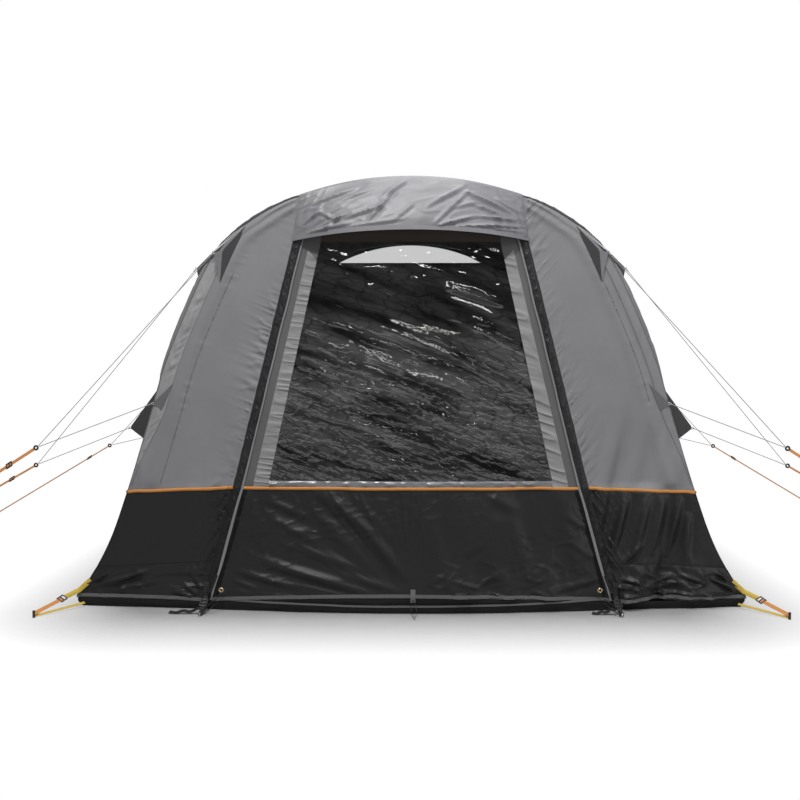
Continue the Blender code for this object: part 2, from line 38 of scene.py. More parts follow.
# depths of the middle and rear beams and of the tunnel's end
MIDDLE_Y = 0.87
REAR_Y = 2.07
TUNNEL_END_Y = 2.97
FRONT_BAND = 0.14  # how far the cloth lies on the front and rear beams
BAND = 0.035
SAG = 0.018  # how far the cloth dips between the beams
HEM_Z = 0.045
HEM_RISE = 0.035  # how much higher the door's hem is at its middle
SKIRT_Z = 0.600
DOOR_TOP_Z = 1.868
LEAN = 0.12  # how far back the top of the front leans
TOP_Z = 2.12
ARCH = [
    (0.0, 2.12), (0.28, 2.098), (0.544, 2.03), (0.70, 1.962), (0.814, 1.89), (0.905, 1.826), (0.966, 1.748),
    (1.054, 1.585), (1.206, 1.22), (1.30, 0.90),
]
PROFILES = {  # half profiles of the beams' outer line, x and z from the top to the hem
    "front": np.array(ARCH + [(1.400, 0.574), (1.497, 0.312), (1.655, HEM_Z)]),
    "middle": np.array([
        (0.0, 2.215), (0.32, 2.20), (0.60, 2.152), (0.785, 2.085), (0.939, 1.99), (1.052, 1.892),
        (1.148, 1.772), (1.256, 1.57), (1.395, 1.22), (1.46, 0.90), (1.515, SKIRT_Z), (1.572, 0.312),
        (1.62, HEM_Z),
    ]),
    "rear": np.array(ARCH + [(1.39, SKIRT_Z), (1.455, 0.312), (1.50, HEM_Z)]),
}
# places along a profile, counted in its points
HOOD_T, DOOR_T, EAVES_T, SKIRT_T, HEM_T = 2.0, 3.0, 6.0, 10.0, 12.0
ZIP = (0.976, 0.822, 0.515)  # half widths of the door at its hem, at the skirts' top and at its own top
BOW_X = 0.975  # the front bows forward between the zips, and back beyond them
HEADER_Z = 2.020
STRIP_WIDTH = 0.047
SLEEVE_TOP = 1.70
SEAM_TOP = 1.80
SLEEVE_TURN = (1.02, 0.64)  # heights between which the outer seam runs out to the edge
GATHER = 0.60  # share of the door's border that is the pale gathered band, from the glass to the zip
SLEEVE_SEAMS = {"left": (0.068, 0.150), "right": (0.050, 0.094)}  # in from the edge of the front wall
WINDOW_TOP = (1.80, 0.44)  # height and half width
WINDOW_BOTTOM = (0.636, 0.689)
HOOD_FOOT = (0.578, 1.852)  # half width and height of the hood's lower edge
HOOD_BEND = 0.042  # how much lower the ends of that edge are
HOOD_STAND = 0.115  # how far its middle stands off the front
DOORWAY_RADIUS = 1.07
DOORWAY_Z = 0.93  # height of the middle of the doorway's arch
DOORWAY_N = (16, 20, 24)  # steps down the doorway to the end of its arch, the skirts' top and the ground
TUNNEL_Z = 0.90  # height of the middle of the tunnel's arch
TUNNEL_RADIUS = (1.13, 1.19)  # at the rear wall and at the rail
TUNNEL_SAG = 0.02
# x and y of the pegs below the zips, before the door and at the corners
FOOT = (1.005, -0.135)
CENTRE_PEG = (0.018, -0.188)
CORNER_PEG = (1.79, -0.17)
GRIP_Z = 0.006  # height at which a strap meets its peg
WEB_WIDTH = 0.023
# depth; patches from the first to the last place on the beam and out to a tip; x and z of the ring; x of the
# peg; how far the strap's broad side turns to the front
GUYS = {
    "front": {"depth": 0.06, "upper": ((0.812, 1.882), (0.936, 1.606), (0.968, 1.752)),
              "lower": ((1.170, 1.106), (1.228, 0.974), (1.270, 1.010)),
              "ring": (1.85, 0.79), "peg": 3.05, "turn": 0.8},
    "middle": {"depth": MIDDLE_Y, "upper": (5.0, 6.5, (1.212, 1.738)), "lower": (8.5, 9.5, (1.60, 0.834)),
               "ring": (2.14, 0.62), "peg": 3.19, "turn": 0.5},
    "rear": {"depth": REAR_Y - 0.07, "upper": (5.0, 6.5, (1.03, 1.72)), "lower": (8.5, 9.5, (1.47, 0.77)),
             "ring": (2.04, 0.636), "peg": 3.07, "turn": 0.3},
}
AHEAD = (0, -1, 0)  # the way that the front faces
SIDES = (("left", -1), ("right", 1))

# Main folds of the cloth in mm: two places of the left end, two of the right end, width and height
HOOD_FOLDS = (  # across the hood, and up from its lower edge
    (-550, 15, -290, 45, 12, 9), (-430, 25, -340, 95, 6, 7), (-550, 80, -450, 145, 8, 8),
    (-470, 135, -370, 60, 7, 7), (-520, 185, -260, 235, 9, 7), (-370, 65, -110, 125, 9, 8),
    (-400, 165, -180, 215, 8, 5), (-220, 40, -90, 190, 9, 10), (-160, 150, -20, 250, 10, 8),
    (-480, 40, -200, 130, 7, 5), (-300, 20, -30, 50, 8, 5), (-100, 30, 20, 130, 9, 4),
    (110, 15, 300, 215, 8, 8), (80, 110, 280, 235, 9, 9), (120, 10, 340, 85, 9, 9),
    (320, 78, 550, 100, 9, 8), (180, 8, 560, 62, 8, 9), (260, 215, 520, 140, 10, 9),
    (300, 150, 490, 105, 8, 6), (360, 18, 580, 40, 7, 6), (200, 110, 360, 165, 8, 5),
    (420, 205, 560, 150, 8, 5),
)
FRONT_FOLDS = (  # x and z on the front
    (-885, 212, -536, 117, 15, 11), (-885, 157, -724, 103, 10, 8), (-738, 251, -174, 100, 20, 18),
    (-684, 452, -436, 338, 24, 11), (-738, 560, -476, 455, 18, 11), (-440, 600, -180, 385, 30, 20),
    (-270, 468, -10, 160, 30, 20), (-335, 197, -53, 110, 18, 10), (-300, 600, -60, 330, 20, 7),
    (-536, 559, -174, 210, 30, 7), (-560, 330, -250, 215, 20, 7), (560, 150, 700, 265, 26, 11),
    (670, 98, 925, 163, 16, 12), (360, 570, 545, 495, 26, 10), (250, 270, 345, 345, 20, 6),
    (310, 130, 430, 200, 16, 6), (60, 130, 200, 210, 14, 5), (740, 480, 890, 380, 16, 7),
    (760, 350, 920, 240, 16, 7), (978, 274, 1063, 580, 20, 11), (1080, 255, 1165, 575, 22, 13),
    (1175, 265, 1250, 575, 22, 12), (1259, 250, 1324, 560, 20, 12), (1350, 235, 1365, 480, 18, 8),
    (1030, 230, 1125, 330, 14, 9), (1461, 157, 1630, 78, 9, 8), (1500, 183, 1635, 90, 8, 6),
    (1317, 172, 1450, 128, 10, 7), (1020, 158, 1180, 128, 11, 7), (1180, 130, 1300, 172, 11, 7),
    (1060, 105, 1330, 118, 12, 6), (1135, 85, 1591, 66, 10, 5), (-1613, 108, -1496, 172, 9, 9),
    (-1595, 98, -1282, 190, 11, 13), (-1571, 82, -1341, 160, 10, 9), (-1560, 70, -1270, 128, 11, 9),
    (-1512, 64, -1294, 100, 9, 6), (-1120, 132, -1046, 73, 10, 7), (-1075, 185, -1022, 98, 9, 8),
    (-1170, 90, -1060, 60, 9, 6), (-1010, 580, -930, 640, 14, 4),
)
FILM_FOLDS = (  # x and z on the window
    (-360, 1440, 60, 1275, 9, 13), (20, 1290, 330, 1180, 8, 10), (-420, 1370, 100, 1155, 9, 12),
    (20, 1620, 450, 1490, 9, 12), (-300, 1600, 110, 1500, 10, 8), (-100, 1690, 300, 1600, 8, 8),
    (-440, 1530, -240, 1450, 8, 8), (-460, 1300, -200, 1150, 9, 9), (100, 1440, 480, 1380, 9, 9),
    (180, 1700, 420, 1630, 7, 8), (300, 1180, 600, 1050, 8, 8), (-150, 960, 120, 850, 7, 6),
    (100, 860, 330, 760, 7, 6), (-250, 1100, 0, 990, 7, 6), (-60, 1430, 220, 1330, 8, 10),
    (-240, 1490, 120, 1380, 8, 8), (200, 1570, 500, 1470, 8, 7), (80, 1140, 420, 1020, 8, 7),
    (-480, 1200, -280, 1090, 8, 7), (320, 1340, 540, 1270, 8, 7),
)
FILM_PULLS = (  # the tight ones that catch the light
    (-150, 1378, 330, 1200, 21, 7.4), (-60, 1320, 340, 1175, 12, 3.2), (170, 1585, 460, 1490, 17, 6),
    (-240, 1262, -20, 1165, 16, 5.2),
)
CELL = 0.0095  # edge of a grid cell on the front

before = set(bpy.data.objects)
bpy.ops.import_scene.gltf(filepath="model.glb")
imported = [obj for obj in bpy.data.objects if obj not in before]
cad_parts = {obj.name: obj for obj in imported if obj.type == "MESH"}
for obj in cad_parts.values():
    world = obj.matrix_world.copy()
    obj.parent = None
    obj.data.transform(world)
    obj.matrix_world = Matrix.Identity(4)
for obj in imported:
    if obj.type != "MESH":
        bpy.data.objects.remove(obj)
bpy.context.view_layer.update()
materials = {}


# Noise and folds

def hashed(i, j, seed):
    """A fixed random value from -1 to 1 for each whole-numbered cell."""
    h = (i.astype(np.int64) * 374761393 + j.astype(np.int64) * 668265263 + seed * 974711) & 0xFFFFFFFF
    h = ((h ^ (h >> 13)) * 1274126177) & 0xFFFFFFFF
    return ((h ^ (h >> 16)) & 0xFFFF) / 32767.5 - 1.0


def noise(u, v, seed=0):
    """Smooth noise from -1 to 1, one lump to each unit."""
    i, j = np.floor(u), np.floor(v)
    a, b = u - i, v - j
    a, b = a * a * a * (a * (6 * a - 15) + 10), b * b * b * (b * (6 * b - 15) + 10)
    low = hashed(i, j, seed) * (1 - a) + hashed(i + 1, j, seed) * a
    high = hashed(i, j + 1, seed) * (1 - a) + hashed(i + 1, j + 1, seed) * a
    return low * (1 - b) + high * b


def ridges(u, v, seed=0):
    """Sharp creases between soft pillows, from 0 to 1."""
    return (1 - np.abs(noise(u, v, seed))) ** 3


def creases(u, v, seed, width):
    """Narrow creases that run along the zero lines of a noise, from 0 to 1."""
    return np.exp(-np.abs(noise(u, v, seed)) / width)


def smooth(x, low, high):
    """A soft step from 0 at low to 1 at high, which may lie either way."""
    s = np.clip((x - low) / (high - low), 0.0, 1.0)
    return s * s * (3 - 2 * s)


def strokes(x, z, folds):
    """Folds from their left to their right ends: a ridge over a shallow trough, fading out at both ends."""
    total = 0
    for fold in folds:
        x0, z0, x1, z1, width, height = (value / 1000 for value in fold)
        dx, dz = x1 - x0, z1 - z0
        long = math.hypot(dx, dz)
        along = ((x - x0) * dx + (z - z0) * dz) / long
        across = ((x - x0) * dz - (z - z0) * dx) / long
        fade = np.sin(math.pi * np.clip(along / long, 0, 1)) ** 0.7
        crest = np.exp(-np.abs(across / width) ** 1.6)
        total = total + height * fade * (crest - 0.5 * np.exp(-((across - 1.8 * width) / width) ** 2))
    return total


def puckers(along, away, seed, per_metre, reach, height):
    """Short gathers square to a seam, dying out away from it."""
    wave = 1.5 * (ridges(along * per_metre, away * 9, seed) - 0.45)
    patch = 0.4 + 0.6 * smooth(noise(along * 4, away * 0, seed + 7), -0.3, 0.5)
    return height * wave * patch * np.exp(-np.abs(away) / reach)


# The surfaces

def unit(v):
    """Vectors scaled to a length of 1."""
    v = np.asarray(v, float)
    return v / np.maximum(np.linalg.norm(v, axis=-1, keepdims=True), 1e-12)


def spline(points, t):
    """A smooth curve through points, mirrored at the top; t counts the points."""
    i = np.clip(np.floor(t), 0, len(points) - 2).astype(int)
    s = (t - i)[..., None]
    first = np.array([-points[1][0], points[1][1]])
    last = points[-1] * 2 - points[-2]
    padded = np.vstack([first, points, last])
    a, b, c, d = (padded[i + k] for k in range(4))
    square, cube = 2 * a - 5 * b + 4 * c - d, 3 * b - a - 3 * c + d
    return 0.5 * (2 * b + (c - a) * s + square * s ** 2 + cube * s ** 3)


def outline(beam, t, out=0.0):
    """x and z on the half profile of a beam, moved outward in its plane; t runs from the top to the hem."""
    t = np.abs(np.asarray(t, float))
    step = 0.05
    profile = PROFILES[beam]
    at = spline(profile, t)
    run = spline(profile, np.minimum(t + step, HEM_T)) - spline(profile, np.maximum(t - step, 0))
    run = unit(np.where((t < step)[..., None], np.array([1.0, 0.0]), run))
    return at[..., 0] - run[..., 1] * out, at[..., 1] + run[..., 0] * out


def front_y(x, z):
    """Depth of the front without its folds: it leans back and bows."""
    side = np.abs(x)
    bow = -0.10 + 0.09 * np.minimum(side / BOW_X, 1.0) ** 2 + 0.103 * np.maximum(side - BOW_X, 0.0)
    return LEAN * z / TOP_Z + bow * (1 - 0.75 * z / TOP_Z)


def zip_x(z):
    return np.interp(z, [HEM_Z, SKIRT_Z, DOOR_TOP_Z], ZIP)


def window_x(z):
    return np.interp(z, [WINDOW_BOTTOM[0], WINDOW_TOP[0]], [WINDOW_BOTTOM[1], WINDOW_TOP[1]])


def skirt_seam(side):
    """Height of the seam where the skirts' lower strip is sewn on."""
    return 0.235 - 0.065 * (side - 1.0)


def hem_z(x):
    return HEM_Z + HEM_RISE * np.maximum(0.0, 1 - (x / ZIP[0]) ** 2)


def edge_x(z):
    """Half width of the front wall at a height."""
    t = np.linspace(0, HEM_T, 400)
    x, height = outline("front", t, -HALF)
    return np.interp(-np.asarray(z, float), -height, x)


def front_fold(x, z):
    """How far the front stands out of its plane: one field for walls, skirts and door, so that they meet."""
    side = np.abs(x)
    right = x > 0
    away = side - zip_x(z) - STRIP_WIDTH
    inside = edge_x(z) - side
    wall = smooth(z, SKIRT_Z - 0.03, SKIRT_Z + 0.03)
    skirt = 1 - wall
    beside = smooth(away, -0.01, 0.02)
    # the air beam swells the edge, and the sleeve's two seams gather the cloth beside them
    d = wall * 0.009 * np.exp(-((inside - 0.105) / 0.035) ** 2)
    d += wall * 0.006 * np.exp(-((inside - 0.035) / 0.02) ** 2)
    d += wall * 0.0045 * noise(x * 4 + z, z * 1.3, 3) * smooth(inside, 0.0, 0.25)
    near_edge = np.exp(-((inside - 0.034) / 0.026) ** 2) * smooth(z, 0.4, 0.7)
    d += 0.0040 * noise(inside * 52 + z * 15, z * 11, 5) * near_edge
    seam = np.where(right, SLEEVE_SEAMS["right"][1], SLEEVE_SEAMS["left"][1])
    d += wall * puckers(z - side * 0.2, inside - seam, 21, 50, 0.022, 0.0030)
    # gathers beside the zip strips, slanted on the left and steep on the right
    slant = np.where(right, (z - 1.2 * side) * 0.75, z - 0.42 * side)
    calm = np.where(right, 1.0, 1 - 0.75 * smooth(z, 1.45, 1.60))
    d += skirt * puckers(z + 1.5 * side, away, 13, 34, 0.050, 0.012) * smooth(z, 0.08, 0.2)
    d += puckers(slant, away, 11, 46, 0.050, np.where(right, 0.0090, 0.0105)) * smooth(z, 0.25, 0.5) * calm
    # soft folds down the lower half of the walls, and the seam of the skirts
    low = smooth(z, 1.10, 0.62) * wall
    d += low * 0.015 * noise(x * 15 - z * 3.5, z * 1.3, 31) * np.where(right, 1.0, 0.35)
    off_beam = smooth(inside, 0.08, 0.24)
    d += skirt * np.where(right, 0.034 * off_beam, 0.003) * noise(x * 15 - z * 3.6, z * 0.9, 33)
    d -= skirt * 0.0035 * np.exp(-((z - skirt_seam(side)) / 0.006) ** 2)
    # crumples under the seam, deepest on the right and before the door's right half
    below = smooth(z, skirt_seam(side), skirt_seam(side) - 0.04) * skirt
    d += below * (ridges(x * 9 + z * 4, z * 21, 53) - 0.4 * off_beam) * np.where(right, 0.024, 0.008)
    foot = np.hypot(away, z - 0.10)
    turn = np.arctan2(z - 0.10, away + 0.001)
    reach = np.exp(-(foot / 0.17) ** 2) * smooth(foot, 0.0, 0.05)
    d += 0.006 * (ridges(turn * 9, foot * 1.5, 59) - 0.4) * reach
    d *= beside
    within = smooth(zip_x(z) - side, 0.0, 0.03) * skirt
    rough = smooth(x, -0.05, 0.25) * smooth(x, 0.85, 0.55) * smooth(z, 0.34, 0.12)
    d += within * rough * 0.011 * (ridges(x * 11 - z * 9, z * 15 + x * 5, 57) - 0.35)
    crinkled = skirt * (0.2 + 0.8 * within) * smooth(noise(x * 3, z * 4, 79), -0.5, 0.2)
    d += 0.0040 * crinkled * ridges(x * 17 + z * 9, z * 30 - x * 6, 77)
    d += within * smooth(x, -0.05, 0.2) * 0.017 * noise(x * 10 + z * 3, z * 2.6, 83)
    d += within * 0.005 * noise(x * 6.5 + z * 3.0, z * 3.3 - x * 1.1, 71)
    r = np.hypot(x, z - 0.05)
    turn = np.arctan2(z - 0.05, -x)
    reach = smooth(r, 0.10, 0.42) * smooth(x, 0.22, -0.10)
    d += within * 0.0065 * (ridges(turn * 11, r * 1.6, 81) - 0.4) * reach
    d += within * puckers(z * 0.8 + side * 0.5, zip_x(z) - side, 73, 34, 0.07, 0.005)
    gather = puckers(side - 0.3 * z, SKIRT_Z - z, 75, 19, 0.085, 0.007) * smooth(SKIRT_Z - z, 0.0, 0.012)
    d += within * gather
    folds = np.where(within > 0, 0.85, np.where(right, 2.0, 1.4)) * strokes(x, z, FRONT_FOLDS)
    return d + folds * np.where(away > 0, beside, smooth(zip_x(z) - side, 0.0, 0.02))


def front_point(x, z, lift=0.0):
    """Points on the folded front, lift metres before it."""
    x, z = np.broadcast_arrays(np.asarray(x, float), np.asarray(z, float))
    return np.stack([x, front_y(x, z) - front_fold(x, z) - lift, z], -1)


# shares of the depth between which the cloth lies on the front, the middle and the rear beam
W = np.array([0.0, FRONT_BAND, MIDDLE_Y - BAND, MIDDLE_Y + BAND, REAR_Y - FRONT_BAND, REAR_Y]) / REAR_Y


def shell(t, w):
    """Points on the roof and sides: t runs from the top (0) to the hems (-12, 12), w from front to rear."""
    t, w = np.broadcast_arrays(np.asarray(t, float), np.asarray(w, float))
    profiles = {}
    for beam in PROFILES:
        x, z = outline(beam, t)
        inner_x, inner_z = outline(beam, t, -SAG)
        profiles[beam] = (x, z, inner_x - x, inner_z - z)
    y_front = front_y(*profiles["front"][:2])
    x, y, z = np.zeros_like(w), np.zeros_like(w), np.zeros_like(w)

    def fill(mask, first, second, s, depth):
        a, b = profiles[first], profiles[second]
        dip = 4 * s * (1 - s)
        for target, k in ((x, 0), (z, 1)):
            value = a[k] + (b[k] - a[k]) * s + (a[k + 2] + (b[k + 2] - a[k + 2]) * s) * dip
            target[mask] = value[mask]
        y[mask] = depth[mask]

    part = (w - W[0]) / (W[1] - W[0])
    fill(w <= W[1], "front", "front", part * 0, y_front - HALF + part * (FRONT_BAND + HALF))
    part = (w - W[1]) / (W[2] - W[1])
    start = FRONT_BAND + 0.06
    depth = start + (MIDDLE_Y - BAND - start) * part + (y_front - 0.06) * np.clip(1 - part * 4, 0, 1)
    fill((w > W[1]) & (w <= W[2]), "front", "middle", np.clip(part, 0, 1), depth)
    fill((w > W[2]) & (w <= W[3]), "middle", "middle", part * 0, w * REAR_Y)
    part = (w - W[3]) / (W[4] - W[3])
    fill((w > W[3]) & (w <= W[4]), "middle", "rear", np.clip(part, 0, 1), w * REAR_Y)
    fill(w > W[4], "rear", "rear", part * 0, w * REAR_Y + HALF * (w - W[4]) / (W[5] - W[4]))
    z = np.where(np.abs(t) > HEM_T - 0.5, z + (HEM_Z - z) * (np.abs(t) - HEM_T + 0.5) * 2, z)
    return np.stack([np.sign(t) * np.abs(x), y, z], -1)


def shell_fold(t, w):
    """Wrinkles of the roof and sides, outward."""
    a = np.abs(t)
    side = np.sign(t)
    bay = sum(np.sin(np.clip((w - W[k]) / (W[k + 1] - W[k]), 0, 1) * math.pi) for k in (1, 3))
    depth = w * REAR_Y
    d = 0.004 * noise(t * 0.9, depth * 6, 81) * bay * smooth(a, 0.5, 3)
    d += 0.003 * noise(a * 0.5 + depth * 4, depth * 11 * side, 83) * bay * smooth(a, 5, 8)
    for at in W[1:5]:
        d += 0.0022 * noise(t * 9, (w - at) * 16, 87) * np.exp(-np.abs(w - at) / 0.03)
    low = smooth(a, 10.0, 10.6)
    height = (HEM_T - a) / 2
    for peg in (0.02, MIDDLE_Y, REAR_Y - 0.04):
        turn = np.arctan2(height * 0.55, depth - peg)
        r = np.hypot(height * 0.55, depth - peg)
        d += low * 0.008 * noise(turn * 7, r * 2, 91) * np.exp(-(r / 0.33) ** 1.4) * smooth(r, 0.01, 0.08)
    d += low * 0.006 * noise(depth * 7 + height, height * 1.5, 93) * bay
    return d


# Meshes

def shift(points):
    """Points moved into the frame of the solids."""
    points = np.array(points, float)
    points[..., 1] -= CENTRE_Y
    return points


def normals_of(points):
    return unit(np.cross(np.gradient(points, axis=1), np.gradient(points, axis=0)))


def travel(points, axis=0):
    """Distance along the points from their first row or column."""
    steps = np.linalg.norm(np.diff(points, axis=axis), axis=-1)
    start = np.zeros_like(np.take(steps, [0], axis))
    return np.cumsum(np.concatenate([start, steps], axis), axis)


def finish_mesh(name, vertices, faces, uvs, sharp, material, nodes):
    """An object with its metric map and look, its body, and the solids that it stands for."""
    mesh = bpy.data.meshes.new(name)
    mesh.from_pydata(vertices.tolist(), [], faces)
    mesh.polygons.foreach_set("use_smooth", [True] * len(mesh.polygons))
    mesh.set_sharp_from_angle(angle=math.radians(sharp))
    loops = np.zeros(len(mesh.loops), np.int32)
    mesh.loops.foreach_get("vertex_index", loops)
    mesh.uv_layers.new(name="Panel").data.foreach_set("uv", uvs[loops].ravel())
    mesh.materials.append(materials[material])
    made = bpy.data.objects.new(name, mesh)
    bpy.context.scene.collection.objects.link(made)
    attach(made, "root")
    if nodes:
        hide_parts(*nodes)
    return made


def cloth(name, points, material, nodes, thick=CLOTH):
    """A panel of fabric, a closed sheet on a grid of points. Its cut is a triangle or about a rectangle."""
    points = shift(points)
    high, wide = points.shape[:2]
    half = normals_of(points) * thick / 2
    vertices = np.concatenate([(points + half).reshape(-1, 3), (points - half).reshape(-1, 3)])
    count = high * wide
    ids = np.arange(count).reshape(high, wide)
    quads = np.stack([ids[:-1, :-1], ids[:-1, 1:], ids[1:, 1:], ids[1:, :-1]], -1).reshape(-1, 4)
    faces = [quads, quads[:, ::-1] + count]
    for a, b in ((ids[0, 1:], ids[0, :-1]), (ids[-1, :-1], ids[-1, 1:]), (ids[:-1, 0], ids[1:, 0]),
                 (ids[1:, -1], ids[:-1, -1])):
        faces.append(np.stack([a, b, b + count, a + count], -1))
    u, v = travel(points, 1), travel(points, 0)
    uv = np.stack([u - u[:, wide // 2:wide // 2 + 1], v], -1).reshape(-1, 2)
    made = finish_mesh(name, vertices, np.concatenate(faces).tolist(), np.concatenate([uv, uv]), 50,
                       material, nodes)


def sweep(name, points, section, facing, material, nodes=()):
    """A body swept along points: section is a ring of (across, out) offsets, out towards facing."""
    points = shift(points)
    run = unit(np.gradient(points, axis=0))
    side = unit(np.cross(facing, run))
    out = np.cross(run, side)
    section = np.asarray(section, float)
    rings = points[:, None] + side[:, None] * section[..., 0:1] + out[:, None] * section[..., 1:2]
    n, m = rings.shape[:2]
    ids = np.arange(n * m).reshape(n, m)
    after = np.roll(ids, -1, axis=1)
    faces = np.stack([ids[:-1], after[:-1], after[1:], ids[1:]], -1).reshape(-1, 4).tolist()
    faces += [ids[0][::-1].tolist(), ids[-1].tolist()]
    round_it = np.broadcast_to(np.linspace(0, 0.05, m), (n, m))
    uvs = np.stack([round_it, np.broadcast_to(travel(points)[:, None], (n, m))], -1).reshape(-1, 2)
    finish_mesh(name, rings.reshape(-1, 3), faces, uvs, 40, material, nodes)


def round_section(radius, sides=8, flat=1.0):
    turns = np.arange(sides) * 2 * math.pi / sides
    return np.stack([radius * np.cos(turns), radius * flat * np.sin(turns)], -1)


def band_section(width, thick):
    """Webbing with rounded edges."""
    ring = [(-1, -0.4), (-0.94, -1), (0.94, -1), (1, -0.4), (1, 0.4), (0.94, 1), (-0.94, 1), (-1, 0.4)]
    return np.array(ring) * (width / 2, thick / 2)


def band(name, points, width, thick, facing, material, nodes=()):
    """A strap, tape or binding."""
    sweep(name, points, band_section(width, thick), facing, material, nodes)


def rod(name, points, radius, material, nodes=(), facing=AHEAD):
    """A cord, bar or pin."""
    sweep(name, points, round_section(radius), facing, material, nodes)


def line(a, b, count):
    s = np.linspace(0, 1, count)[:, None]
    return np.asarray(a, float) * (1 - s) + np.asarray(b, float) * s


# Materials

def shader(name, base, rough, specular=0.5, sheen=0.0):
    material = bpy.data.materials.new(name)
    material.use_nodes = True
    main = material.node_tree.nodes["Principled BSDF"]
    for socket, value in (("Base Color", (*base, 1)), ("Roughness", rough), ("Specular IOR Level", specular),
                          ("Sheen Weight", sheen)):
        main.inputs[socket].default_value = value
    materials[name] = material
    return material.node_tree, main


def add(tree, kind, *places, **names):
    """A shader node. Inputs come by place or name, as a value or a socket to link; the rest are settings."""
    node = tree.nodes.new("ShaderNode" + kind)
    for key in [key for key in names if key not in node.inputs]:
        setattr(node, key, names.pop(key))
    for key, value in [*enumerate(places), *names.items()]:
        if isinstance(value, bpy.types.NodeSocket):
            tree.links.new(value, node.inputs[key])
        else:
            node.inputs[key].default_value = value
    return node


def place_of(tree):
    return add(tree, "TexCoord").outputs["Object"]


def scaled(tree, value, *limits):
    """A value mapped from its own two limits to two others, 0 and 1 where they aren't given."""
    return add(tree, "MapRange", value, *limits).outputs[0]


def cloud(tree, where, scale, detail, rough=0.5):
    return add(tree, "TexNoise", Vector=where, Scale=scale, Detail=detail, Roughness=rough).outputs[0]


def times(tree, a, b):
    return add(tree, "Math", a, b, operation="MULTIPLY").outputs[0]


def bump(tree, main, height, strength, distance):
    made = add(tree, "Bump", Height=height, Strength=strength, Distance=distance)
    tree.links.new(made.outputs[0], main.inputs["Normal"])


def ramp_of(tree, value, steps):
    """A ramp through (position, colour) steps, where one number is a grey."""
    ramp = add(tree, "ValToRGB", value)
    elements = ramp.color_ramp.elements
    for index, (position, colour) in enumerate(steps):
        step = elements[index] if index < 2 else elements.new(position)
        step.position = position
        step.color = (*((colour,) * 3 if isinstance(colour, float) else colour), 1)
    return ramp.outputs["Color"]


def fabric(name, base, rough, thread=0.0016, weave=0.25, specular=0.35, grime=0.0):
    """Woven polyester: plain weave and slubs in the bump, and a slightly uneven tone."""
    tree, main = shader(name, base, rough, specular, 0.05)
    panel = add(tree, "UVMap", uv_map="Panel").outputs[0]
    warp, weft = (add(tree, "TexWave", Vector=panel, wave_type="BANDS", bands_direction=way,
                      Scale=0.5 / thread / math.pi, Distortion=0.6).outputs["Fac"] for way in "XY")
    threads = add(tree, "Math", warp, weft, operation="MAXIMUM").outputs[0]
    where = place_of(tree)
    knots = cloud(tree, where, 90.0, 3.0)
    slubs = add(tree, "Math", knots, 0.6, threads, operation="MULTIPLY_ADD").outputs[0]
    bump(tree, main, slubs, weave, 0.0006)
    patches = cloud(tree, where, 3.5, 6.0, 0.6)
    dark, light = ([c * (1 + tone) for c in base] for tone in (-0.07, 0.07))
    colour = ramp_of(tree, patches, ((0.3, dark), (0.7, light)))
    if grime:
        height = add(tree, "SeparateXYZ", where).outputs["Z"]
        near = scaled(tree, height, 0.30, 0.0, 0.0, grime)
        amount = times(tree, near, cloud(tree, where, 22.0, 8.0))
        dust = add(tree, "Mix", amount, data_type="RGBA")
        tree.links.new(colour, dust.inputs[6])
        dust.inputs[7].default_value = (0.16, 0.15, 0.13, 1)
        colour = dust.outputs[2]
    tree.links.new(colour, main.inputs["Base Color"])
    tree.links.new(scaled(tree, patches, 0.0, 1.0, rough - 0.05, rough + 0.07), main.inputs["Roughness"])


def webbing_material(name, base, rough=0.6):
    """Flat woven tape with a twill running along it."""
    tree, main = shader(name, base, rough, 0.4, 0.1)
    twill = add(tree, "TexWave", Vector=place_of(tree), wave_type="BANDS", bands_direction="DIAGONAL",
                Scale=95.0, Distortion=1.0).outputs["Fac"]
    bump(tree, main, twill, 0.5, 0.0006)
    colour = ramp_of(tree, twill, ((0.0, [c * 0.78 for c in base]), (1.0, base)))
    tree.links.new(colour, main.inputs["Base Color"])


def hard_material(name, base, rough, metallic=0.0):
    tree, main = shader(name, base, rough)
    main.inputs["Metallic"].default_value = metallic
    grain = cloud(tree, place_of(tree), 120.0, 4.0)
    bump(tree, main, grain, 0.15, 0.0005)
    tree.links.new(scaled(tree, grain, 0.0, 1.0, rough - 0.06, rough + 0.08), main.inputs["Roughness"])


def slanted(tree, where, size, slant):
    """Object coordinates turned and stretched, for a texture whose grain runs down to the right."""
    made = add(tree, "Mapping", vector_type="TEXTURE", Vector=where, Rotation=(0, slant, 0), Scale=size)
    return made.outputs[0]


def facets(tree, where, size, slant, **settings):
    """Cells that lie flat along the slant."""
    across = slanted(tree, where, size, slant)
    return add(tree, "TexVoronoi", Vector=across, Scale=1.0, Randomness=1.0, **settings).outputs["Distance"]


